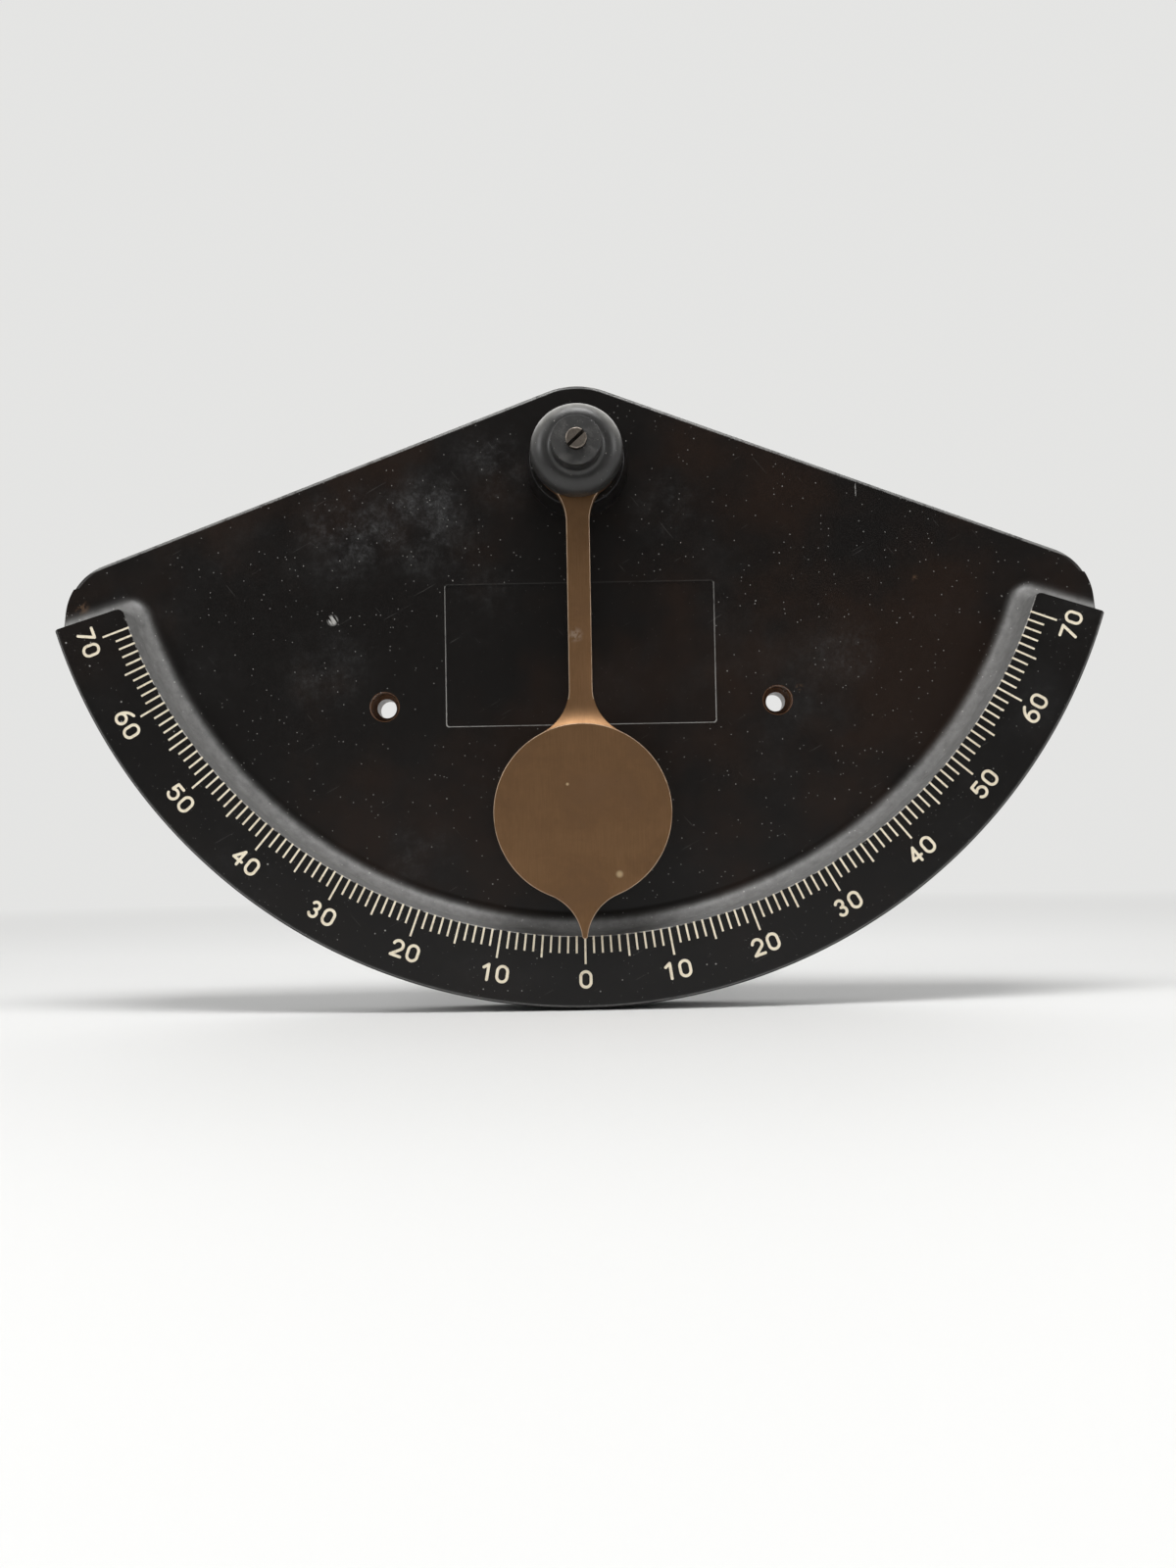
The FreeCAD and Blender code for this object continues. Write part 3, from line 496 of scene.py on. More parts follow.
    def _top_edges(self, recipe: Recipe, fine: Value) -> Value:
        """Return the rounded edges of the two slopes and the apex, painted lighter grey: partly rubbed,
        partly a painted highlight.

        Args:
            recipe: The recipe that the nodes go into.
            fine: A fine noise that breaks the finish up.

        Returns:
            The rounded edges of the two slopes and the apex, painted lighter grey: partly rubbed, partly a
            painted highlight.
        """
        reach, slope = self.apex
        along = math.sin(math.radians(slope))
        up = (recipe.axis("Z") - self.pivot[1]) * math.cos(math.radians(slope))
        total: Number = 0.0
        for side in (-along, along):
            far = recipe.axis("X") * side + up
            total = recipe.band(far, reach - 1.05 * MM, reach - 0.75 * MM) + total
        apart = recipe.band(recipe.axis("Y"), self.plate_face + 0.9 * MM, self.plate_face + 1.2 * MM,
                            1.0, 0.0)
        return (total.clamped() * apart * recipe.band(fine, 0.36, 0.52, 0.4, 1.0)).clamped()

    def _panel_edge(self, recipe: Recipe, fine: Value) -> Value:
        """Return the leaning walls of the panel, painted light at its foot and its sides and dim along its
        top: a painted highlight and a painted shade.

        Args:
            recipe: The recipe that the nodes go into.
            fine: A fine noise that breaks the finish up.

        Returns:
            The leaning walls of the panel, painted light at its foot and its sides and dim along its top: a
            painted highlight and a painted shade.
        """
        half, top, foot = self.panel
        place = recipe.axis("Y")
        depth = (recipe.band(place, self.plate_face + 0.01 * MM, self.plate_face + 0.05 * MM)
                 * recipe.band(place, self.plate_face + 0.30 * MM, self.plate_face + 0.38 * MM, 1.0, 0.0))
        up = recipe.axis("Z")
        inside = (recipe.band(recipe.axis("X"), -half - 1 * MM, -half)
                  * recipe.band(recipe.axis("X"), half, half + 1 * MM, 1.0, 0.0)
                  * recipe.band(up, foot - 1 * MM, foot))
        # Painted shade along the panel's top edge, and a painted highlight that is strongest at its foot.
        below = recipe.band(up, top - 0.6 * MM, top - 0.4 * MM, 1.0, 0.12)
        brighter = recipe.band(up, foot, top, 1.0, 0.55)
        return depth * inside * below * brighter * recipe.band(fine, 0.30, 0.50, 0.5, 1.0)

    def _lip(self, recipe: Recipe, fine: Value) -> Value:
        """Return the worn line along the rim's inner edge.

        Args:
            recipe: The recipe that the nodes go into.
            fine: A fine noise that breaks the finish up.

        Returns:
            The worn line along the rim's inner edge.
        """
        reach = recipe.reach(self.pivot)
        line = (recipe.band(reach, self.scale_radius - 0.12 * MM, self.scale_radius - 0.02 * MM)
                * recipe.band(reach, self.scale_radius + 0.10 * MM, self.scale_radius + 0.24 * MM, 1.0, 0.0))
        before = recipe.band(recipe.axis("Y"), self.rim_face + 0.15 * MM, self.rim_face + 0.3 * MM, 1.0, 0.0)
        return line * before * recipe.band(fine, 0.40, 0.56)

    def _add_holes(self, recipe: Recipe, base: Value) -> Value:
        """Return the colour with bare brown resin on the walls of the mounting holes.

        Args:
            recipe: The recipe that the nodes go into.
            base: The colour so far.

        Returns:
            The colour with bare brown resin on the walls of the mounting holes.
        """
        patchy = recipe.band(recipe.noise(900.0, 4.0), 0.2, 0.5)
        for spot in self.hole_spots:
            reach = recipe.reach(spot)
            inside = recipe.band(reach, self.hole_reach * 0.955, self.hole_reach, 1.0, 0.0)
            base = recipe.mix(inside * patchy, base, self.resin_colour)
        return base

    def _scuff(self, recipe: Recipe) -> Value:
        """Return a small scuff of a few parallel strokes, and a fine upright crack.

        Args:
            recipe: The recipe that the nodes go into.

        Returns:
            A small scuff of a few parallel strokes, and a fine upright crack.
        """
        strokes = recipe.noise(260.0, 1.0, 0.4, place=recipe.stretched((5.0, 1.0, 1.0), 0.5))
        x, z = self.scuff
        scuff = recipe.near((x, self.plate_face, z), 0.7 * MM, 1.7 * MM) * recipe.band(strokes, 0.48, 0.56)
        x, z = self.crack
        wander = recipe.axis("X") + (recipe.noise(700.0, 3.0) - 0.5) * (0.5 * MM)
        line = (recipe.band(wander, x - 0.14 * MM, x - 0.05 * MM)
                * recipe.band(wander, x + 0.05 * MM, x + 0.14 * MM, 1.0, 0.0))
        return (scuff + line * recipe.near((x, self.plate_face, z), 1.2 * MM, 1.9 * MM) * 0.6).clamped()

    @staticmethod
    def _scratches(recipe: Recipe) -> Value:
        """Return sparse fine scratches that lie in two directions.

        Args:
            recipe: The recipe that the nodes go into.

        Returns:
            Sparse fine scratches that lie in two directions.
        """
        total: Number = 0.0
        for turn, reach in ((0.5, 0.72), (-0.9, 0.73)):
            streaks = recipe.noise(80.0, 2.0, 0.5, place=recipe.stretched((1.0, 1.0, 22.0), turn))
            total = recipe.band(streaks, reach, reach + 0.03) + total
        return total.clamped()


@dataclass(frozen=True)
class ScalePaint:
    """Cream filling paint that has yellowed and caught some dirt."""

    colour: Colour = (0.80, 0.72, 0.56)
    dirty: Colour = (0.44, 0.35, 0.23)

    def material(self) -> bpy.types.Material:
        """Return the paint's material.

        Returns:
            The paint's material.
        """
        recipe = Recipe("scale_paint")
        dirt = recipe.band(recipe.noise(700.0, 5.0, 0.7), 0.5, 0.78)
        patches = recipe.band(recipe.noise(45.0, 3.0), 0.45, 0.75)
        base = recipe.mix((dirt * 0.7 + patches * 0.25).clamped(), self.colour, self.dirty)
        rough = 0.62 + dirt * 0.2
        skin = recipe.bump(recipe.noise(2600.0, 3.0), 0.03 * MM, 0.5)
        return recipe.finish(Base_Color=base, Roughness=rough, Normal=skin)


@dataclass(frozen=True)
class AgedBronze:
    """Dull brown bronze with a fine grain down its length, a few bright specks, and lighter chamfers that are
    partly rubbed and partly a painted highlight.
    """

    arm_face: float
    bob_face: float
    bob_centre: Point
    bob_reach: float
    chamfer: float
    colour: Colour = (0.245, 0.138, 0.068)
    dark: Colour = (0.165, 0.090, 0.043)
    warm: Colour = (0.310, 0.168, 0.082)
    rubbed_and_highlight_colour: Colour = (0.66, 0.50, 0.36)
    pit_colour: Colour = (0.09, 0.06, 0.04)
    smudge_colour: Colour = (0.52, 0.43, 0.34)
    speck_colour: Colour = (0.72, 0.55, 0.33)
    specks: tuple[tuple[float, float, float], ...] = ((-3.7 * MM, -21.6 * MM, 0.5 * MM),
                                                      (8.8 * MM, -44.0 * MM, 1.2 * MM))
    smudge: tuple[float, float, float] = (-1.1 * MM, -30.2 * MM, 15.6 * MM)

    def material(self) -> bpy.types.Material:
        """Return the pendulum's material.

        Returns:
            The pendulum's material.
        """
        recipe = Recipe("aged_bronze")
        grain = recipe.noise(1.0, 3.0, 0.6, place=recipe.stretched((3200.0, 900.0, 160.0)))
        cloud = recipe.noise(70.0, 5.0, 0.6, warp=0.3)
        stain = recipe.noise(24.0, 3.0, 0.5)
        base = recipe.mix(recipe.band(cloud, 0.36, 0.7), self.colour, self.dark)
        base = recipe.mix(recipe.band(stain, 0.45, 0.7, 0.0, 0.55), base, self.warm)
        base = recipe.mix(recipe.band(grain, 0.35, 0.75, 0.0, 0.35), base, self.dark)
        pits = recipe.band(recipe.cells(620.0), 0.03, 0.11, 1.0, 0.0) * recipe.band(cloud, 0.5, 0.6)
        base = recipe.mix(pits * 0.6, base, self.pit_colour)
        smudge = (recipe.near(self.smudge, 0.5 * MM, 2.4 * MM)
                  * recipe.band(recipe.noise(800.0, 4.0), 0.4, 0.6))
        base = recipe.mix(smudge * 0.4, base, self.smudge_colour)
        for x, z, size in self.specks:
            bright = recipe.band(recipe.reach((x, z)), size * 0.25, size, 1.0, 0.0)
            base = recipe.mix(bright * 0.75, base, self.speck_colour)
        # The chamfers are painted lighter: partly rubbed, partly a painted highlight.
        edges = self._edges(recipe) * recipe.band(recipe.noise(350.0, 5.0, 0.7), 0.30, 0.52, 0.45, 1.0)
        base = recipe.mix(edges * 0.8, base, self.rubbed_and_highlight_colour)
        rough = (0.47 + (cloud - 0.5) * 0.25 + (grain - 0.5) * 0.12 + pits * 0.2).clamped()
        metal = (0.95 - recipe.band(cloud, 0.45, 0.75) * 0.2).clamped()
        skin = recipe.bump(grain, 0.012 * MM, 0.6)
        pitted = recipe.bump(1.0 - pits, 0.03 * MM, 0.6, over=skin)
        return recipe.finish(Base_Color=base, Roughness=rough, Metallic=metal, Normal=pitted)

    def _edges(self, recipe: Recipe) -> Value:
        """Return the chamfers of the bob and of the arm.

        Args:
            recipe: The recipe that the nodes go into.

        Returns:
            The chamfers of the bob and of the arm.
        """
        place = recipe.axis("Y")

        def chamfer(face: float) -> Value:
            """Return the depth range of the chamfer behind a face."""
            return (recipe.band(place, face + self.chamfer * 0.1, face + self.chamfer * 0.25)
                    * recipe.band(place, face + self.chamfer * 0.85, face + self.chamfer, 1.0, 0.0))

        reach = recipe.reach(self.bob_centre)
        apart = recipe.band(reach, self.bob_reach + 0.4 * MM, self.bob_reach + 1.2 * MM)
        above = recipe.band(recipe.axis("Z"), self.bob_centre[1], self.bob_centre[1] + 5 * MM)
        return (chamfer(self.bob_face) + chamfer(self.arm_face) * apart * above).clamped()


@dataclass(frozen=True)
class CapPhenolic:
    """Turned black phenolic: satin on the bell, rough and grey on the nose's face, with dust and a painted
    sheen on the bell's upper half.
    """

    nose_face: float
    shoulder: float
    middle: float
    radius: float
    colour: Colour = (0.0090, 0.0085, 0.0082)
    grey: Colour = (0.060, 0.058, 0.055)
    bell_colour: Colour = (0.028, 0.027, 0.026)
    dust_and_sheen_colour: Colour = (0.46, 0.45, 0.42)
    speck_colour: Colour = (0.38, 0.36, 0.33)

    def material(self) -> bpy.types.Material:
        """Return the cap's material.

        Returns:
            The cap's material.
        """
        recipe = Recipe("cap_phenolic")
        fine = recipe.noise(1100.0, 6.0, 0.75)
        blotch = recipe.band(recipe.noise(260.0, 5.0, 0.65), 0.42, 0.7)
        faced = recipe.band(recipe.axis("Y"), self.nose_face + 0.1 * MM, self.nose_face + 0.5 * MM, 1.0, 0.0)
        film = recipe.band(recipe.noise(150.0, 5.0, 0.65), 0.3, 0.7, 0.05, 0.2)
        base = recipe.mix((faced * (blotch * 0.7 + 0.05) + film).clamped(), self.colour, self.grey)
        bell = recipe.band(recipe.axis("Y"), self.shoulder - 0.2 * MM, self.shoulder + 2.2 * MM)
        base = recipe.mix(bell * (0.35 + blotch * 0.3), base, self.bell_colour)
        # The bell is painted lighter grey towards its top: partly dust, partly a painted sheen.
        dust_and_sheen_above = recipe.band(recipe.axis("Z"), self.middle - self.radius * 0.1, self.middle + self.radius)
        base = recipe.mix(dust_and_sheen_above * bell * (0.55 + blotch * 0.4), base, self.dust_and_sheen_colour)
        specks = (recipe.scattered(1500.0, 0.5, 0.16) + recipe.scattered(800.0, 0.3, 0.16)).clamped()
        base = recipe.mix(specks * 0.6, base, self.speck_colour)
        rough = (0.37 + faced * 0.38 + (fine - 0.5) * 0.2 + blotch * 0.1).clamped()
        turned = recipe.bump(fine, 0.02 * MM, 0.5)
        pitted = recipe.bump(blotch * faced, 0.10 * MM, 0.8, over=turned)
        return recipe.finish(Base_Color=base, Roughness=rough, Normal=pitted, IOR=1.56,
                             Specular_IOR_Level=0.5)


@dataclass(frozen=True)
class Metal:
    """A plain machined metal with fine turning marks and a little tarnish."""

    name: str
    colour: Colour
    tarnish: Colour
    roughness: float
    tarnish_share: float = 0.4
    mark_scale: float = 2400.0
    dirt_and_shade_from: Optional[float] = None
    dirt_and_shade_colour: Colour = (0.012, 0.010, 0.009)

    def material(self) -> bpy.types.Material:
        """Return the metal's material, with dirt and painted shade deeper than one place along Y where that
        is given.

        Returns:
            The metal's material, with dirt and painted shade deeper than one place along Y where that is
            given.
        """
        recipe = Recipe(self.name)
        marks = recipe.noise(1.0, 2.0, 0.5, place=recipe.stretched((200.0, self.mark_scale, 200.0)))
        stain = recipe.band(recipe.noise(480.0, 5.0, 0.65), 0.42, 0.72)
        base = recipe.mix(stain * self.tarnish_share, self.colour, self.tarnish)
        rough = (self.roughness + stain * 0.2 + (marks - 0.5) * 0.12).clamped()
        if self.dirt_and_shade_from is not None:
            # Deeper than that place, in the slot and round the head's side, the screw is painted dark: partly
            # dirt, partly painted shade.
            dirt = recipe.band(recipe.axis("Y"), self.dirt_and_shade_from, self.dirt_and_shade_from + 0.3 * MM)
            base = recipe.mix(dirt * 0.9, base, self.dirt_and_shade_colour)
            rough = (rough + dirt * 0.4).clamped()
        skin = recipe.bump(marks, 0.01 * MM, 0.5)
        return recipe.finish(Base_Color=base, Roughness=rough, Metallic=1.0, Normal=skin)


class Bench:
    """Modelling steps that every piece shares."""

    @staticmethod
    def clear() -> None:
        """Select nothing."""
        bpy.ops.object.select_all(action="DESELECT")

    @staticmethod
    def take(piece: bpy.types.Object) -> None:
        """Select one object and make it active.

        Args:
            piece: The piece to work on.
        """
        Bench.clear()
        piece.select_set(True)
        bpy.context.view_layer.objects.active = piece

    @staticmethod
    def named(name: str) -> bpy.types.Object:
        """Name the primitive that was just added and put its place into its mesh.

        Args:
            name: The object's name.

        Returns:
            The primitive.
        """
        piece = bpy.context.active_object
        piece.name = name
        piece.data.name = name
        bpy.ops.object.transform_apply(location=True, rotation=True, scale=True)
        return piece

    @staticmethod
    def disc(name: str, radius: float, back: float, front: float, centre: Point,
             sides: int = 128) -> bpy.types.Object:
        """Add a cylinder along Y.

        Args:
            name: The object's name.
            radius: Its radius.
            back: Where it starts along Y.
            front: Where it ends along Y.
            centre: Its axis, as X and Z.
            sides: How many sides it has.

        Returns:
            The cylinder.
        """
        Bench.clear()
        bpy.ops.mesh.primitive_cylinder_add(
            vertices=sides, radius=radius, depth=back - front,
            location=(centre[0], (back + front) / 2, centre[1]), rotation=(math.pi / 2, 0.0, 0.0))
        return Bench.named(name)

    @staticmethod
    def block(name: str, low: Iterable[float], high: Iterable[float]) -> bpy.types.Object:
        """Add a box between two corners.

        Args:
            name: The object's name.
            low: The lowest corner.
            high: The highest corner.

        Returns:
            The box.
        """
        lowest, highest = Vector(low), Vector(high)
        Bench.clear()
        bpy.ops.mesh.primitive_cube_add(size=1.0, location=(lowest + highest) / 2, scale=highest - lowest)
        return Bench.named(name)

    @staticmethod
    def prism(name: str, outline: list[Point], back: float, front: float,
              front_outline: Optional[list[Point]] = None) -> bpy.types.Object:
        """Shape a filled circle to an outline and extrude it towards the viewer.

        Args:
            name: The object's name.
            outline: The outline in X and Z.
            back: Where it starts along Y.
            front: Where it ends along Y.
            front_outline: The outline at its front, point for point, where the walls lean.

        Returns:
            The prism, with its faces pointing outwards.
        """
        Bench.clear()
        bpy.ops.mesh.primitive_circle_add(vertices=len(outline), radius=1.0, fill_type="NGON")
        piece = Bench.named(name)
        for vertex, (x, z) in zip(piece.data.vertices, outline):
            vertex.co = (x, back, z)
        bpy.ops.object.mode_set(mode="EDIT")
        bpy.ops.mesh.select_all(action="SELECT")
        bpy.ops.mesh.extrude_region_move(TRANSFORM_OT_translate={"value": (0.0, front - back, 0.0)})
        if front_outline:
            ends = {(round(x, 7), round(z, 7)): end for (x, z), end in zip(
                [(point.co.x, point.co.z) for point in piece.data.vertices[:len(outline)]], front_outline)}
            mesh = bmesh.from_edit_mesh(piece.data)
            for vertex in mesh.verts:
                if vertex.select:
                    x, z = ends[(round(vertex.co.x, 7), round(vertex.co.z, 7))]
                    vertex.co.x, vertex.co.z = x, z
            bmesh.update_edit_mesh(piece.data)
        bpy.ops.mesh.select_all(action="SELECT")
        bpy.ops.mesh.normals_make_consistent(inside=False)
        bpy.ops.object.mode_set(mode="OBJECT")
        return piece

    @staticmethod
    def edit(piece: bpy.types.Object) -> None:
        """Open a piece in edit mode with nothing selected.

        Args:
            piece: The piece to work on.
        """
        Bench.take(piece)
        bpy.ops.object.mode_set(mode="EDIT")
        bpy.ops.mesh.select_all(action="DESELECT")

    @staticmethod
    def close() -> None:
        """Leave edit mode."""
        bpy.ops.object.mode_set(mode="OBJECT")

    @staticmethod
    def pick_edges(piece: bpy.types.Object, test: Callable[[Vector, Vector], bool]) -> None:
        """Select the edges of the open piece whose two ends pass a test.

        Args:
            piece: The piece to work on.
            test: Says whether an edge between two points is taken.
        """
        bpy.ops.mesh.select_mode(type="EDGE")
        mesh = bmesh.from_edit_mesh(piece.data)
        for edge in mesh.edges:
            edge.select_set(test(edge.verts[0].co, edge.verts[1].co))
        mesh.select_flush_mode()
        bmesh.update_edit_mesh(piece.data)

    @staticmethod
    def pick_faces(piece: bpy.types.Object, test: Callable[[bmesh.types.BMFace], bool]) -> None:
        """Select the faces of the open piece that pass a test.

        Args:
            piece: The piece to work on.
            test: Says whether a face is taken.
        """
        bpy.ops.mesh.select_mode(type="FACE")
        mesh = bmesh.from_edit_mesh(piece.data)
        for face in mesh.faces:
            face.select_set(bool(test(face)))
        bmesh.update_edit_mesh(piece.data)

    @staticmethod
    def round_edges(piece: bpy.types.Object, width: float, segments: int,
                    test: Callable[[Vector, Vector], bool]) -> bpy.types.Object:
        """Bevel the edges whose two ends pass a test.

        Args:
            piece: The piece to work on.
            width: How far the bevel reaches from each edge.
            segments: How many steps round it has.
            test: Says whether an edge between two points is taken.

        Returns:
            The same piece.
        """
        Bench.edit(piece)
        Bench.pick_edges(piece, test)
        bpy.ops.mesh.bevel(offset=width, offset_type="OFFSET", segments=segments, profile=0.5,
                           affect="EDGES", clamp_overlap=False)
        Bench.close()
        return piece

    @staticmethod
    def combine(piece: bpy.types.Object, tool: bpy.types.Object, how: Cut) -> bpy.types.Object:
        """Join, remove or keep a tool's shape in a piece, and throw the tool away.

        Args:
            piece: The piece to work on.
            tool: The object that cuts or joins.
            how: What the boolean does.

        Returns:
            The same piece.
        """
        Bench.take(piece)
        step = piece.modifiers.new("combine", "BOOLEAN")
        step.operation = how.value
        step.solver = "EXACT"
        step.object = tool
        bpy.ops.object.modifier_apply(modifier=step.name)
        bpy.data.objects.remove(tool)
        return piece

    @staticmethod
    def gather(name: str, tools: list[bpy.types.Object]) -> bpy.types.Object:
        """Join separate objects into one.

        Args:
            name: The joined object's name.
            tools: The objects to join.

        Returns:
            The joined object.
        """
        Bench.clear()
        for tool in tools:
            tool.select_set(True)
        bpy.context.view_layer.objects.active = tools[0]
        bpy.ops.object.join()
        return Bench.named(name)

    @staticmethod
    def heal(piece: bpy.types.Object) -> bpy.types.Object:
        """Merge the points and close the slivers that the cuts leave behind.

        Args:
            piece: The piece to work on.

        Returns:
            The same piece.
        """
        Bench.edit(piece)
        bpy.ops.mesh.select_all(action="SELECT")
        bpy.ops.mesh.remove_doubles(threshold=2e-7)
        bpy.ops.mesh.dissolve_degenerate(threshold=1e-7)
        bpy.ops.mesh.select_all(action="SELECT")
        bpy.ops.mesh.fill_holes(sides=8)
        bpy.ops.mesh.select_all(action="SELECT")
        bpy.ops.mesh.normals_make_consistent(inside=False)
        Bench.close()
        return piece

    @staticmethod
    def smooth(piece: bpy.types.Object, degrees: float = 28.0) -> bpy.types.Object:
        """Shade a piece smooth, with crisp edges past an angle and flat faces kept flat.

        Args:
            piece: The piece to work on.
            degrees: The angle past which an edge stays crisp.

        Returns:
            The same piece.
        """
        Bench.take(piece)
        bpy.ops.object.shade_smooth_by_angle(angle=math.radians(degrees))
        step = piece.modifiers.new("even_normals", "WEIGHTED_NORMAL")
        step.keep_sharp = True
        step.weight = 100
        bpy.ops.object.modifier_apply(modifier=step.name)
        return piece

    @staticmethod
    def dress(piece: bpy.types.Object, material: bpy.types.Material) -> None:
        """Give a piece one material all over."""
        piece.data.materials.clear()
        piece.data.materials.append(material)


@dataclass(frozen=True)
class Walk:
    """Points along the round stretches of an outline."""

    step: float = 1.2

    def arc(self, centre: Point, radius: float, start: float, end: float) -> list[Point]:
        """Return points round an arc, both ends included.

        Args:
            centre: The arc's centre in X and Z.
            radius: Its radius.
            start: The angle of its first point from +X, in degrees.
            end: The angle of its last point.

        Returns:
            The points.
        """
        count = max(3, math.ceil(abs(end - start) / self.step))
        angles = [math.radians(start + (end - start) * index / count) for index in range(count + 1)]
        return [(centre[0] + radius * math.cos(angle), centre[1] + radius * math.sin(angle))
                for angle in angles]


def mirrored(points: list[Point]) -> list[Point]:
    """Return the points' images on the other side, in the opposite order."""
    return [(-x, z) for x, z in reversed(points)]


def unrepeated(points: list[Point]) -> list[Point]:
    """Return an outline with no point that repeats its neighbour.

    Args:
        points: The outline's points.

    Returns:
        An outline with no point that repeats its neighbour.
    """
    kept: list[Point] = []
    for point in points:
        if not kept or math.dist(point, kept[-1]) > 1e-6:
            kept.append(point)
    if math.dist(kept[0], kept[-1]) < 1e-6:
        kept.pop()
    return kept


@dataclass
class DialBody:
    """The moulded body: plate, rim, pivot boss, mounting holes, engraving and hollow back."""

    pivot: Point = (0.0, 61.6 * MM)
    scale_radius: float = 121.0 * MM
    rim_radius: float = 139.0 * MM
    scale_end: int = 70
    rim_end: float = 72.5
    end_corner: float = 1.6 * MM
    end_outer: float = 1.2 * MM
    end_overrun: float = 0.2 * MM
    apex_radius: float = 21.5 * MM
    slope: float = 20.6
    shoulder_radius: float = 15.0 * MM
    plate_depth: float = 13.3 * MM
    edge_round: float = 1.15 * MM
    draft: float = 5.0
    cove: float = 5.0 * MM
    boss_base: float = 13.4 * MM
    boss_top: float = 12.1 * MM
    boss_below_rim: float = 2.5 * MM
    boss_round: float = 0.35 * MM
    hole_x: float = 50.8 * MM
    hole_radius: float = 2.5 * MM
    counterbore_radius: float = 3.75 * MM
    counterbore_depth: float = 5.5 * MM
    panel_width: float = 70.0 * MM
    panel_top: float = 30.0 * MM
    panel_height: float = 37.2 * MM
    panel_recess: float = 0.4 * MM
    panel_lean: float = 0.3 * MM
    panel_corner: float = 0.6 * MM
    wall: float = 4.8 * MM
    rib: float = 3.2 * MM
    cells: int = 8
    hole_boss: float = 8.0 * MM
    back_boss: float = 11.5 * MM
    insert_radius: float = 6.4 * MM
    tick_width: float = 0.52 * MM
    tick_lengths: tuple[float, float, float] = (4.3 * MM, 5.6 * MM, 7.0 * MM)
    engraving: float = 0.3 * MM
    walk: Walk = field(default_factory=Walk)

    def __post_init__(self) -> None:
        """Read the rim's face and the boss's top from the frame."""
        low, _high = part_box("dial_body")
        self.rim_face = low.y
        self.plate_face = -self.plate_depth
        self.boss_face = self.rim_face + self.boss_below_rim

    def outline(self, inset: float = 0.0) -> list[Point]:
        """Return the plate's outline, drawn inwards by a wall.

        Args:
            inset: How far it is drawn inwards.

        Returns:
            The plate's outline, drawn inwards by a wall.
        """
        apex = self.apex_radius - inset
        shoulder = self.shoulder_radius - inset
        outer = self.rim_radius - inset
        lean = self.slope + math.degrees(math.acos((apex - shoulder) / (outer - shoulder)))
        centre = (self.pivot[0] + (outer - shoulder) * math.sin(math.radians(lean)),
                  self.pivot[1] + (outer - shoulder) * math.cos(math.radians(lean)))
        right = self.walk.arc(self.pivot, apex, 90.0, 90.0 - self.slope)
        right += Walk(1.5).arc(centre, shoulder, 90.0 - self.slope, 90.0 - lean)
        right += self.walk.arc(self.pivot, outer, 90.0 - lean, -90.0)
        return unrepeated(right + mirrored(right))

    def end_point(self, reach: float, side: float) -> Point:
        """Return the point at a reach along the rim's right end and at a height off it.

        Args:
            reach: The distance from the pivot along the end.
            side: The distance off the end.

        Returns:
            The point at a reach along the rim's right end and at a height off it.
        """
        end = math.radians(self.rim_end)
        return (self.pivot[0] + reach * math.sin(end) + side * math.cos(end),
                self.pivot[1] - reach * math.cos(end) + side * math.sin(end))

    def well_outline(self, inset: float) -> list[Point]:
        """Return the outline of the space inside the rim and past its two ends.

        Args:
            inset: How far it is drawn away from the rim.

        Returns:
            The outline of the space inside the rim and past its two ends.
        """
        circle = self.scale_radius - inset
        corner = self.end_corner + inset
        outer = self.end_outer + inset
        centre = self.end_point(math.sqrt((circle + corner) ** 2 - self.end_corner ** 2), -self.end_corner)
        bearing = math.degrees(math.atan2(centre[1] - self.pivot[1], centre[0] - self.pivot[0]))
        turn_reach = self.rim_radius + self.end_overrun - self.end_outer
        turn_centre = self.end_point(turn_reach, -self.end_outer)
        far = self.end_point(turn_reach + outer + self.scale_radius, -self.end_outer)
        right = self.walk.arc(self.pivot, circle, -90.0, bearing)
        right += Walk(12.0).arc(centre, corner, bearing + 180.0, self.rim_end)
        right += Walk(12.0).arc(turn_centre, outer, self.rim_end, self.rim_end - 90.0)
        right += [far, (far[0], self.pivot[1] + 2 * self.rim_radius)]
        return unrepeated(right + mirrored(right))

    def sector(self, inner: float, outer: float, start: float, end: float) -> list[Point]:
        """Return the outline of a ring sector between two angles from straight down.

        Args:
            inner: The inner radius.
            outer: The outer radius.
            start: The first angle.
            end: The last angle.

        Returns:
            The outline of a ring sector between two angles from straight down.
        """
        low = self.walk.arc(self.pivot, outer, start - 90.0, end - 90.0)
        high = self.walk.arc(self.pivot, inner, end - 90.0, start - 90.0)
        return unrepeated(low + high)

    def build(self) -> bpy.types.Object:
        """Return the whole body.

        Returns:
            The whole body.
        """
        plate = Bench.prism("dial_casting", self.outline(), 0.0, self.plate_face)
        Bench.round_edges(plate, self.edge_round, 5, self.at(self.plate_face))
        Bench.combine(plate, self._rim(), Cut.JOIN)
        Bench.combine(plate, self._boss(), Cut.JOIN)
        self._hollow(plate)
        self._drill(plate)
        self._engrave(plate)
        return Bench.smooth(Bench.heal(plate))

    @staticmethod
    def at(place: float) -> Callable[[Vector, Vector], bool]:
        """Return a test for edges that lie at one place along Y."""
        return lambda first, last: abs(first.y - place) < 1e-6 and abs(last.y - place) < 1e-6

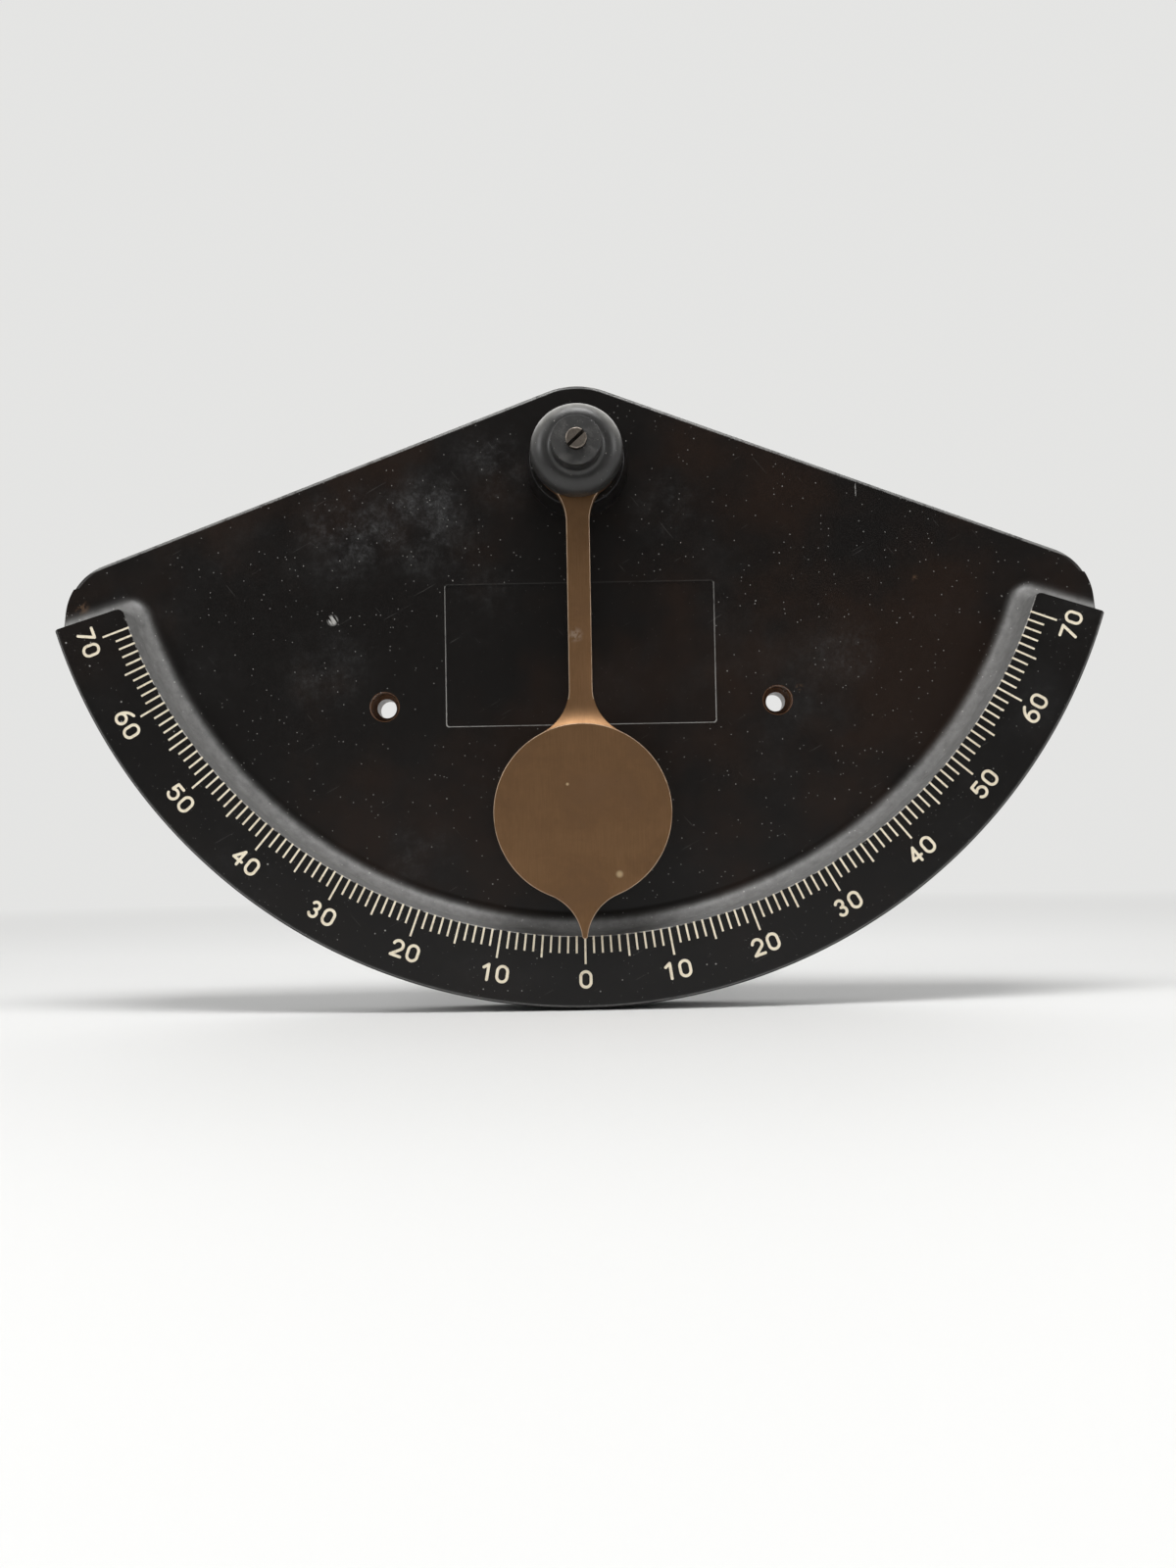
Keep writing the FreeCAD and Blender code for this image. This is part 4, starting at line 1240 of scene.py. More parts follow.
    def _well(self) -> bpy.types.Object:
        """Return the drafted tool that clears the space in front of the plate, with its cove.

        Returns:
            The drafted tool that clears the space in front of the plate, with its cove.
        """
        spread = (self.plate_face - self.rim_face) * math.tan(math.radians(self.draft))
        tool = Bench.prism("well_tool", self.well_outline(spread), self.plate_face,
                           self.rim_face - 1 * MM,
                           self.well_outline(-1 * MM * math.tan(math.radians(self.draft))))
        at_floor = self.at(self.plate_face)
        top = self.pivot[1]
        return Bench.round_edges(
            tool, self.cove, 9,
            lambda first, last: at_floor(first, last) and max(first.z, last.z) < top)

    def _rim(self) -> bpy.types.Object:
        """Return the raised rim with a rounded outer edge and a coved inner wall.

        Returns:
            The raised rim with a rounded outer edge and a coved inner wall.
        """
        end = self.rim_end + math.degrees(2 * self.cove / self.scale_radius)
        rim = Bench.prism("rim", self.sector(self.scale_radius - 3 * self.cove, self.rim_radius, -end, end),
                          -1 * MM, self.rim_face)
        outer = self.rim_radius
        pivot = Vector((self.pivot[0], 0.0, self.pivot[1]))
        at_front = self.at(self.rim_face)

        def on_outer(first: Vector, last: Vector) -> bool:
            """Say whether an edge lies on the rim's outer circle, at its front."""
            reach = min((Vector((point.x, 0.0, point.z)) - pivot).length for point in (first, last))
            return at_front(first, last) and reach > outer - 0.1 * MM

        Bench.round_edges(rim, self.edge_round, 5, on_outer)
        Bench.combine(rim, self._well(), Cut.REMOVE)
        keep = Bench.prism("keep", self.outline(), 1 * MM, self.rim_face - 2 * MM)
        return Bench.combine(rim, keep, Cut.KEEP)

    def _boss(self) -> bpy.types.Object:
        """Return the leaning pivot boss, rounded at its front and with a plain corner at its foot.

        Returns:
            The leaning pivot boss, rounded at its front and with a plain corner at its foot.
        """
        boss = Bench.disc("boss", self.boss_base, self.plate_face + 2 * MM, self.boss_face, self.pivot)
        front = self.boss_face
        Bench.edit(boss)
        Bench.pick_faces(boss, lambda face: abs(face.calc_center_median().y - front) < 1e-6)
        ratio = self.boss_top / self.boss_base
        bpy.ops.transform.resize(value=(ratio, 1.0, ratio),
                                 center_override=(self.pivot[0], front, self.pivot[1]))
        Bench.close()
        return Bench.round_edges(boss, self.boss_round, 3, self.at(front))

    def _hollow(self, plate: bpy.types.Object) -> None:
        """Cut the hollows behind the plate and behind the rim.

        Args:
            plate: The body to cut.
        """
        floor = self.wall - self.plate_depth
        pocket = Bench.prism("pocket", self.outline(self.wall), 1 * MM, floor)
        Bench.combine(pocket, Bench.disc("round", self.scale_radius, 2 * MM, floor - 1 * MM, self.pivot, 300),
                      Cut.KEEP)
        lean = math.degrees(math.atan2(self.hole_x, self.pivot[1]))
        for degrees in (-lean, 0.0, lean):
            Bench.combine(pocket, self._rib(degrees, floor - 2 * MM), Cut.REMOVE)
        stands = (((-self.hole_x, 0.0), self.hole_boss), ((self.hole_x, 0.0), self.hole_boss),
                  (self.pivot, self.back_boss))
        for centre, radius in stands:
            stand = Bench.disc("stand", radius, 2 * MM, floor - 2 * MM, centre)
            Bench.combine(pocket, stand, Cut.REMOVE)
        Bench.combine(plate, pocket, Cut.REMOVE)
        inner = self.scale_radius + self.wall
        outer = self.rim_radius - self.wall
        rib_angle = math.degrees(self.rib / inner)
        end = self.rim_end - math.degrees(self.wall / inner)
        pitch = (2 * end + rib_angle) / self.cells
        cells = []
        for index in range(self.cells):
            start = -end + index * pitch
            outline = self.sector(inner, outer, start, start + pitch - rib_angle)
            cells.append(Bench.prism("cell", outline, 1 * MM, self.rim_face + self.wall))
        Bench.combine(plate, Bench.gather("cells", cells), Cut.REMOVE)

    def _rib(self, degrees: float, floor: float) -> bpy.types.Object:
        """Return a rib that runs from the pivot at an angle on the dial.

        Args:
            degrees: The rib's angle from straight down.
            floor: Where it ends along Y.

        Returns:
            A rib that runs from the pivot at an angle on the dial.
        """
        half = self.rib / 2
        turn = math.radians(degrees)
        along = (math.sin(turn), -math.cos(turn))
        side = (math.cos(turn), math.sin(turn))
        reach = self.rim_radius
        corners = [(0.0, half), (0.0, -half), (reach, -half), (reach, half)]
        outline = [(self.pivot[0] + along[0] * far + side[0] * off,
                    self.pivot[1] + along[1] * far + side[1] * off) for far, off in corners]
        return Bench.prism("rib", outline, 2 * MM, floor)

    def _drill(self, plate: bpy.types.Object) -> None:
        """Cut the two stepped mounting holes, the insert's seat and the panel's recess.

        Args:
            plate: The body to cut.
        """
        front = self.plate_face - 1 * MM
        for x in (-self.hole_x, self.hole_x):
            centre = (x, 0.0)
            Bench.combine(plate, Bench.disc("drill", self.hole_radius, 1 * MM, front, centre, 64), Cut.REMOVE)
            bore = Bench.disc("counterbore", self.counterbore_radius,
                              self.plate_face + self.counterbore_depth, front, centre, 64)
            Bench.combine(plate, bore, Cut.REMOVE)
        _low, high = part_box("pivot_insert")
        seat = Bench.disc("seat", self.insert_radius, high.y, self.rim_face, self.pivot, 72)
        Bench.combine(plate, seat, Cut.REMOVE)
        grown = self.panel_lean * (1 * MM / self.panel_recess)
        panel = Bench.prism("panel", self._panel(-self.panel_lean), self.plate_face + self.panel_recess,
                            front, self._panel(grown))
        Bench.round_edges(panel, self.panel_corner, 4, lambda first, last: abs(first.y - last.y) > 1e-6)
        Bench.combine(plate, panel, Cut.REMOVE)

    def _panel(self, grown: float) -> list[Point]:
        """Return the four corners of the panel's recess, moved outwards.

        Args:
            grown: How far the corners are moved outwards.

        Returns:
            The four corners of the panel's recess, moved outwards.
        """
        half = self.panel_width / 2 + grown
        top = self.pivot[1] - self.panel_top + grown
        foot = self.pivot[1] - self.panel_top - self.panel_height - grown
        return [(half, foot), (half, top), (-half, top), (-half, foot)]

    def _engrave(self, plate: bpy.types.Object) -> None:
        """Cut the grooves that hold the paint of the marks and the figures.

        Args:
            plate: The body to cut.
        """
        floor = self.rim_face + self.engraving
        front = self.rim_face - 1 * MM
        inner = self.scale_radius - 1 * MM
        short, middle, long = self.tick_lengths
        marks = []
        for degrees in range(-self.scale_end, self.scale_end + 1):
            length = long if degrees % 10 == 0 else middle if degrees % 5 == 0 else short
            outer = self.scale_radius + length
            mark = Bench.block("mark", (-self.tick_width / 2, front, self.pivot[1] - outer),
                               (self.tick_width / 2, floor, self.pivot[1] - inner))
            mark.data.transform(self._turn(degrees))
            marks.append(mark)
        Bench.combine(plate, Bench.gather("marks", marks), Cut.REMOVE)
        Bench.combine(plate, self._figures(floor, front), Cut.REMOVE)

    def _turn(self, degrees: float) -> Matrix:
        """Return the turn about the pivot that carries straight down to an angle."""
        pivot = Matrix.Translation((self.pivot[0], 0.0, self.pivot[1]))
        return pivot @ Matrix.Rotation(-math.radians(degrees), 4, "Y") @ pivot.inverted()

    @staticmethod
    def _figures(floor: float, front: float) -> bpy.types.Object:
        """Return the tool that cuts the figures, drawn from their paint and stretched forwards.

        Args:
            floor: The grooves' floor along Y.
            front: The tool's front along Y.

        Returns:
            The tool that cuts the figures, drawn from their paint and stretched forwards.
        """
        source = bpy.data.objects["scale_numerals"]
        tool = source.copy()
        tool.data = source.data.copy()
        tool.parent = None
        for key in list(tool.keys()):
            del tool[key]
        bpy.context.scene.collection.objects.link(tool)
        low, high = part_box("scale_numerals")
        middle = (low.y + high.y) / 2
        Bench.edit(tool)
        bpy.ops.mesh.select_all(action="SELECT")
        bpy.ops.mesh.remove_doubles(threshold=1e-7)
        Bench.close()
        for vertex in tool.data.vertices:
            vertex.co.y = floor if vertex.co.y > middle else front
        return tool


@dataclass
class Pendulum:
    """The bronze pendulum: hub, flared arm, ramp, bob and pointer."""

    pivot: Point = (0.0, 61.6 * MM)
    arm_thickness: float = 4.0 * MM
    arm_width: float = 5.9 * MM
    bob_radius: float = 22.1 * MM
    bob_drop: float = 90.2 * MM
    hub_radius: float = 10.8 * MM
    blend: float = 12.4 * MM
    pointer_radius: float = 121.4 * MM
    pointer_neck: float = 1.3 * MM
    pointer_round: float = 0.5 * MM
    chamfer: float = 0.35 * MM
    thickness: float = 6.0 * MM
    lip_width: float = 1.04 * MM
    ramp_steps: int = 8
    walk: Walk = field(default_factory=lambda: Walk(2.0))

    def __post_init__(self) -> None:
        """Read the faces along Y from the frame."""
        low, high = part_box("pendulum")
        self.bob_face = low.y
        self.hub_back = high.y
        self.back = self.bob_face + self.thickness
        self.arm_face = self.back - self.arm_thickness
        self.bob_centre = (self.pivot[0], self.pivot[1] - self.bob_drop)

    def _waist(self) -> list[Point]:
        """Return the right side of the arm, from the hub down to the bob.

        Returns:
            The right side of the arm, from the hub down to the bob.
        """
        side = self.arm_width / 2 + self.blend
        upper_drop = math.sqrt((self.hub_radius + self.blend) ** 2 - side ** 2)
        lower_rise = math.sqrt((self.bob_radius + self.blend) ** 2 - side ** 2)
        upper = (side, self.pivot[1] - upper_drop)
        lower = (side, self.bob_centre[1] + lower_rise)
        upper_start = 180.0 - math.degrees(math.atan2(upper_drop, side))
        lower_end = 180.0 + math.degrees(math.atan2(lower_rise, side))
        return (self.walk.arc(upper, self.blend, upper_start, 180.0)
                + self.walk.arc(lower, self.blend, 180.0, lower_end))

    def _bob_outline(self) -> list[Point]:
        """Return the outline of the bob and its pointer.

        Returns:
            The outline of the bob and its pointer.
        """
        side = self.blend + self.pointer_neck / 2
        drop = math.sqrt((self.bob_radius + self.blend) ** 2 - side ** 2)
        hollow = (side, self.bob_centre[1] - drop)
        tip = self.pivot[1] - self.pointer_radius
        rise = tip + self.pointer_round - hollow[1]
        touch = math.degrees(math.atan2(drop, side))
        neck = 180.0 - math.degrees(math.asin(rise / self.blend))
        right = self.walk.arc(self.bob_centre, self.bob_radius, 90.0, -touch)
        right += self.walk.arc(hollow, self.blend, 180.0 - touch, neck)
        right.append((right[-1][0] * 0.55, tip + self.pointer_round * 0.22))
        right.append((0.0, tip))
        return unrepeated(right + mirrored(right))

    def _arm_outline(self) -> list[Point]:
        """Return the outline of the arm, from inside the hub down into the bob."""
        waist = self._waist()
        return unrepeated([self.pivot] + waist + [self.bob_centre] + mirrored(waist))

    def build(self) -> bpy.types.Object:
        """Return the whole pendulum.

        Returns:
            The whole pendulum.
        """
        bob = Bench.prism("pendulum_bronze", self._bob_outline(), self.back, self.bob_face)
        Bench.round_edges(bob, self.chamfer, 2, DialBody.at(self.bob_face))
        arm = Bench.prism("arm", self._arm_outline(), self.back, self.arm_face)
        limit = self.bob_centre[1] + self.bob_radius * 0.6
        top = self.pivot[1] - self.hub_radius * 0.7
        front = DialBody.at(self.arm_face)
        Bench.round_edges(arm, self.chamfer, 2, lambda first, last: (
            front(first, last) and limit < min(first.z, last.z) and max(first.z, last.z) < top))
        Bench.combine(bob, arm, Cut.JOIN)
        Bench.combine(bob, self._ramp(), Cut.JOIN)
        hub = Bench.disc("hub", self.hub_radius, self.hub_back, self.arm_face, self.pivot, 160)
        Bench.combine(bob, hub, Cut.JOIN)
        self._bore(bob)
        return Bench.smooth(Bench.heal(bob), 24.0)

    def _ramp(self) -> bpy.types.Object:
        """Return the hollow ramp from the arm's face to the bob's edge.

        Returns:
            The hollow ramp from the arm's face to the bob's edge.
        """
        rise = (self.arm_face - self.bob_face) - self.chamfer
        turn = math.acos((self.blend - rise) / self.blend)
        run = self.blend * math.sin(turn)
        ramp = Bench.disc("ramp", self.bob_radius + run, self.arm_face + 1 * MM, self.arm_face,
                          self.bob_centre, 256)
        face_y = self.arm_face
        reach = self.bob_radius + run
        Bench.edit(ramp)
        for index in range(1, self.ramp_steps + 1):
            level = face_y
            Bench.pick_faces(ramp, lambda face: abs(face.calc_center_median().y - level) < 1e-6
                             and abs(face.normal.y) > 0.9)
            angle = turn * index / self.ramp_steps
            next_reach = self.bob_radius + run - self.blend * math.sin(angle)
            next_y = self.arm_face - self.blend * (1 - math.cos(angle))
            bpy.ops.mesh.extrude_region_move(TRANSFORM_OT_translate={"value": (0.0, next_y - face_y, 0.0)})
            ratio = next_reach / reach
            bpy.ops.transform.resize(value=(ratio, 1.0, ratio),
                                     center_override=(self.bob_centre[0], next_y, self.bob_centre[1]))
            face_y, reach = next_y, next_reach
        inner = self.bob_radius - 0.2 * MM
        Bench.pick_faces(ramp, lambda face: abs(face.calc_center_median().y - face_y) < 1e-6
                         and abs(face.normal.y) > 0.9)
        bpy.ops.mesh.extrude_region_move(TRANSFORM_OT_translate={"value": (0.0, -0.12 * MM, 0.0)})
        bpy.ops.transform.resize(value=(inner / reach, 1.0, inner / reach),
                                 center_override=(self.bob_centre[0], face_y, self.bob_centre[1]))
        Bench.close()
        keep = Bench.prism("keep", self._arm_outline(), self.back, self.bob_face - 1 * MM)
        return Bench.combine(ramp, keep, Cut.KEEP)

    def _bore(self, bob: bpy.types.Object) -> None:
        """Cut the bearing's seat and the bore through the hub's back lip.

        Args:
            bob: The pendulum so far.
        """
        low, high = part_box("bearing_outer_race")
        radius = (high.x - low.x) / 2
        seat = Bench.disc("seat", radius, high.y, self.bob_face - 1 * MM, self.pivot, 160)
        Bench.combine(bob, seat, Cut.REMOVE)
        lip = Bench.disc("lip", radius - self.lip_width, self.hub_back + 1 * MM, self.bob_face,
                         self.pivot, 160)
        Bench.combine(bob, lip, Cut.REMOVE)


@dataclass
class PivotCap:
    """The bell-shaped cap with its nose, and the slotted screw that holds it."""

    pivot: Point = (0.0, 61.6 * MM)
    radius: float = 11.3 * MM
    flare: float = 0.35 * MM
    nose_radius: float = 6.2 * MM
    nose_length: float = 6.5 * MM
    nose_foot: float = 1.3 * MM
    nose_round: float = 0.3 * MM
    wall: float = 1.9 * MM
    bore: float = 1.6 * MM
    head_radius: float = 2.6 * MM
    head_round: float = 0.35 * MM
    shank_radius: float = 1.45 * MM
    slot_width: float = 0.9 * MM
    slot_depth: float = 0.95 * MM
    slot_angle: float = 42.0
    chips: tuple[tuple[float, float], ...] = (
        (52.0, 0.55 * MM), (38.0, 0.42 * MM), (24.0, 0.3 * MM), (66.0, 0.26 * MM), (-12.0, 0.28 * MM),
        (-150.0, 0.22 * MM), (131.0, 0.2 * MM))

    def __post_init__(self) -> None:
        """Read the faces along Y from the frame."""
        low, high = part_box("pivot_cap")
        self.back = high.y
        self.nose_face = low.y
        self.shoulder = self.nose_face + self.nose_length
        self.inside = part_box("pivot_stud")[0].y

    def _ring(self, place: float, radius: float) -> Callable[[Vector, Vector], bool]:
        """Return a test for edges round the axis at one place and radius.

        Args:
            place: Where the ring is along Y.
            radius: The ring's radius.

        Returns:
            A test for edges round the axis at one place and radius.
        """
        def test(first: Vector, last: Vector) -> bool:
            """Say whether both ends of an edge lie on the ring.

            Args:
                first: The edge's first end.
                last: The edge's last end.

            Returns:
                Whether it does.
            """
            return all(abs(point.y - place) < 1e-6
                       and abs(math.dist((point.x, point.z), self.pivot) - radius) < 0.02 * MM
                       for point in (first, last))
        return test

    def _front(self, place: float, radius: float) -> Callable[[bmesh.types.BMFace], bool]:
        """Return a test for a flat face at one place whose centre is near the axis.

        Args:
            place: Where the face is along Y.
            radius: How near the axis the face's centre has to be.

        Returns:
            A test for a flat face at one place whose centre is near the axis.
        """
        def test(face: bmesh.types.BMFace) -> bool:
            """Say whether a face is the one that closes the front or the back.

            Args:
                face: The face.

            Returns:
                Whether it does.
            """
            centre = face.calc_center_median()
            return (abs(centre.y - place) < 1e-6 and len(face.verts) > 4
                    and math.dist((centre.x, centre.z), self.pivot) < radius)
        return test

    def build_cap(self) -> bpy.types.Object:
        """Return the cap: a disc whose face is inset and drawn out, then rounded.

        Returns:
            The cap: a disc whose face is inset and drawn out, then rounded.
        """
        cap = Bench.disc("cap_bell", self.radius, self.back, self.shoulder, self.pivot, 160)
        Bench.edit(cap)
        Bench.pick_faces(cap, self._front(self.shoulder, 1 * MM))
        bpy.ops.mesh.inset(thickness=self.radius - self.nose_radius)
        bpy.ops.mesh.extrude_region_move(
            TRANSFORM_OT_translate={"value": (0.0, self.nose_face - self.shoulder, 0.0)})
        Bench.pick_faces(cap, self._front(self.back, 1 * MM))
        ratio = (self.radius + self.flare) / self.radius
        bpy.ops.transform.resize(value=(ratio, 1.0, ratio),
                                 center_override=(self.pivot[0], self.back, self.pivot[1]))
        bpy.ops.mesh.inset(thickness=self.wall + self.flare)
        bpy.ops.mesh.extrude_region_move(
            TRANSFORM_OT_translate={"value": (0.0, self.inside - self.back, 0.0)})
        Bench.close()
        Bench.round_edges(cap, self.radius - self.nose_radius - self.nose_foot, 12,
                          self._ring(self.shoulder, self.radius))
        Bench.round_edges(cap, self.nose_foot, 6, self._ring(self.shoulder, self.nose_radius))
        Bench.round_edges(cap, self.nose_round, 3, self._ring(self.nose_face, self.nose_radius))
        Bench.combine(cap, Bench.disc("bore", self.bore, self.back, self.nose_face - 1 * MM, self.pivot, 48),
                      Cut.REMOVE)
        self._chip(cap)
        return Bench.smooth(cap, 32.0)

    def _chip(self, cap: bpy.types.Object) -> None:
        """Break small chips from the rim of the nose.

        Args:
            cap: The cap to work on.
        """
        tools = []
        for degrees, size in self.chips:
            turn = math.radians(degrees)
            Bench.clear()
            bpy.ops.mesh.primitive_ico_sphere_add(
                subdivisions=2, radius=size,
                location=(self.pivot[0] + (self.nose_radius + 0.1 * MM) * math.cos(turn),
                          self.nose_face - 0.05 * MM,
                          self.pivot[1] + (self.nose_radius + 0.1 * MM) * math.sin(turn)),
                scale=(1.5, 0.9, 1.1), rotation=(0.0, -turn, 0.3))
            tools.append(Bench.named("chip"))
        for tool in tools:
            Bench.combine(cap, tool, Cut.REMOVE)

    def build_screw(self) -> bpy.types.Object:
        """Return the screw: a shank with a drawn-out head, rounded and slotted.

        Returns:
            The screw: a shank with a drawn-out head, rounded and slotted.
        """
        low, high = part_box("cap_screw")
        screw = Bench.disc("cap_screw_turned", self.shank_radius, high.y, self.nose_face, self.pivot, 64)
        Bench.edit(screw)
        Bench.pick_faces(screw, self._front(self.nose_face, 1 * MM))
        bpy.ops.mesh.extrude_region_move(TRANSFORM_OT_translate={"value": (0.0, 0.0, 0.0)})
        ratio = self.head_radius / self.shank_radius
        bpy.ops.transform.resize(value=(ratio, 1.0, ratio),
                                 center_override=(self.pivot[0], self.nose_face, self.pivot[1]))
        bpy.ops.mesh.extrude_region_move(
            TRANSFORM_OT_translate={"value": (0.0, low.y - self.nose_face, 0.0)})
        Bench.close()
        Bench.round_edges(screw, self.head_round, 4, self._ring(low.y, self.head_radius))
        reach = 2 * self.head_radius
        half = self.slot_width / 2
        slot = Bench.block("slot", (-reach, low.y - 1 * MM, self.pivot[1] - half),
                           (reach, low.y + self.slot_depth, self.pivot[1] + half))
        turn = Matrix.Translation((0.0, 0.0, self.pivot[1])) @ Matrix.Rotation(
            -math.radians(self.slot_angle), 4, "Y") @ Matrix.Translation((0.0, 0.0, -self.pivot[1]))
        slot.data.transform(turn)
        Bench.combine(screw, slot, Cut.REMOVE)
        return Bench.smooth(screw, 30.0)


@dataclass
class Studio:
    """The pale floor, the soft lamps and the camera of the photograph."""

    floor_drop: float = 0.6 * MM
    camera_place: tuple[float, float, float] = (1.6 * MM, -448.6 * MM, -39.2 * MM)
    camera_aim: tuple[float, float, float] = (-0.0005, 1.0, 0.0421)
    camera_right: tuple[float, float, float] = (1.0, 0.0005, -0.0179)
    focal_pixels: float = 1724.0
    frame_pixels: float = 1600.0
    sensor: float = 36.0
    pale: Colour = (0.78, 0.78, 0.77)
    front_level: float = 0.12

    def build(self, lowest: float) -> None:
        """Set up everything that isn't the object.

        Args:
            lowest: The object's lowest place along Z.
        """
        self._floor(lowest - self.floor_drop)
        self._world()
        self._lamp("top_lamp", (0.0, -0.42, 0.93), (0.0, 0.0, 0.0), 0.6, 0.36, 8.0)
        self._lamp("left_lamp", (-0.95, -0.70, 0.50), (0.0, 0.0, 0.0), 0.45, 0.45, 4.0)
        self._lamp("right_lamp", (0.95, -0.65, 0.40), (0.0, 0.0, 0.0), 0.45, 0.45, 3.0)
        self._lamp("rear_lamp", (0.0, 0.85, 0.55), (0.0, 0.0, 0.05), 1.2, 0.4, 2.5)
        self._camera()

    @staticmethod
    def _seen(recipe: Recipe) -> Value:
        """Return one for rays from the camera, from gloss and through glass.

        Args:
            recipe: The recipe that the nodes go into.

        Returns:
            One for rays from the camera, from gloss and through glass.
        """
        path = recipe.node("ShaderNodeLightPath")
        total: Number = 0.0
        for name in ("Is Camera Ray", "Is Glossy Ray", "Is Transmission Ray"):
            total = Value(recipe, path.outputs[name]) + total
        return total.clamped()

    def _pale_level(self, recipe: Recipe, far: float, near: float) -> Value:
        """Return the background's level, which gloss finds darker from near to far in front.

        Args:
            recipe: The recipe that the nodes go into.
            far: Where it is darkest along Y.
            near: Where it is full along Y.

        Returns:
            The background's level, which gloss finds darker from near to far in front.
        """
        path = recipe.node("ShaderNodeLightPath")
        level = recipe.band(recipe.axis("Y"), far, near, self.front_level, 1.0)
        return (level + Value(recipe, path.outputs["Is Camera Ray"])).clamped()

    def _floor(self, height: float) -> None:
        """Add the floor, which takes the object's shadow and fades into the background.

        Args:
            height: The floor's height.
        """
        Bench.clear()
        bpy.ops.mesh.primitive_plane_add(size=60.0, location=(0.0, 0.0, height))
        floor = Bench.named("floor")
        recipe = Recipe("pale_floor")
        cloud = recipe.noise(3.0, 2.0)
        base = recipe.mix(cloud, self.pale, tuple(part * 0.97 for part in self.pale))
        lit = recipe.node("ShaderNodeBsdfPrincipled", {}, {"Base Color": base, "Roughness": 0.7})
        level = self._seen(recipe) * self._pale_level(recipe, -0.8, -0.2)
        plain_pale = recipe.node("ShaderNodeEmission", {}, {"Color": (*self.pale, 1.0), "Strength": level})
        fade = 1.0 - recipe.near((0.0, 0.0, height), 0.22, 1.2)
        made = recipe.node("ShaderNodeMixShader", {}, {0: fade, 1: Value(recipe, lit.outputs[0]),
                                                       2: Value(recipe, plain_pale.outputs[0])})
        recipe.node("ShaderNodeOutputMaterial", {}, {"Surface": Value(recipe, made.outputs[0])})
        Bench.dress(floor, recipe.material)
        floor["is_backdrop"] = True

    def _world(self) -> None:
        """Light the object softly all round, and show a pale background that is dimmer in front."""
        sky = Sky("soft_world")
        dim = sky.node("ShaderNodeBackground", {}, {"Color": (1.0, 1.0, 1.0, 1.0), "Strength": 0.32})
        level = self._pale_level(sky, -0.75, 0.1)
        pale = sky.node("ShaderNodeBackground", {}, {"Color": (*self.pale, 1.0), "Strength": level})
        shown = sky.node("ShaderNodeMixShader", {}, {0: self._seen(sky), 1: Value(sky, dim.outputs[0]),
                                                     2: Value(sky, pale.outputs[0])})
        sky.node("ShaderNodeOutputWorld", {}, {"Surface": Value(sky, shown.outputs[0])})

    @staticmethod
    def _lamp(name: str, place: tuple[float, float, float], aim: tuple[float, float, float],
              width: float, height: float, power: float) -> None:
        """Add a soft rectangular lamp that faces a point.

        Args:
            name: The lamp's name.
            place: Where it stands.
            aim: The point that it faces.
            width: Its width.
            height: Its height.
            power: Its power in watts.
        """
        data = bpy.data.lights.new(name, "AREA")
        data.shape = "RECTANGLE"
        data.size = width
        data.size_y = height
        data.energy = power
        lamp = bpy.data.objects.new(name, data)
        bpy.context.scene.collection.objects.link(lamp)
        lamp.location = place
        lamp.rotation_euler = (Vector(aim) - Vector(place)).to_track_quat("-Z", "Y").to_euler()

    def _camera(self) -> None:
        """Add the camera at the photograph's place, turned as it was held."""
        data = bpy.data.cameras.new("camera")
        data.sensor_fit = "AUTO"
        data.sensor_width = self.sensor
        data.lens = self.sensor * self.focal_pixels / self.frame_pixels
        data.clip_start = 0.01
        camera = bpy.data.objects.new("camera", data)
        bpy.context.scene.collection.objects.link(camera)
        back = -Vector(self.camera_aim).normalized()
        right = Vector(self.camera_right)
        right = (right - back * right.dot(back)).normalized()
        up = back.cross(right)
        turn = Matrix((right, up, back)).transposed().to_4x4()
        camera.matrix_world = Matrix.Translation(self.camera_place) @ turn
        bpy.context.scene.camera = camera


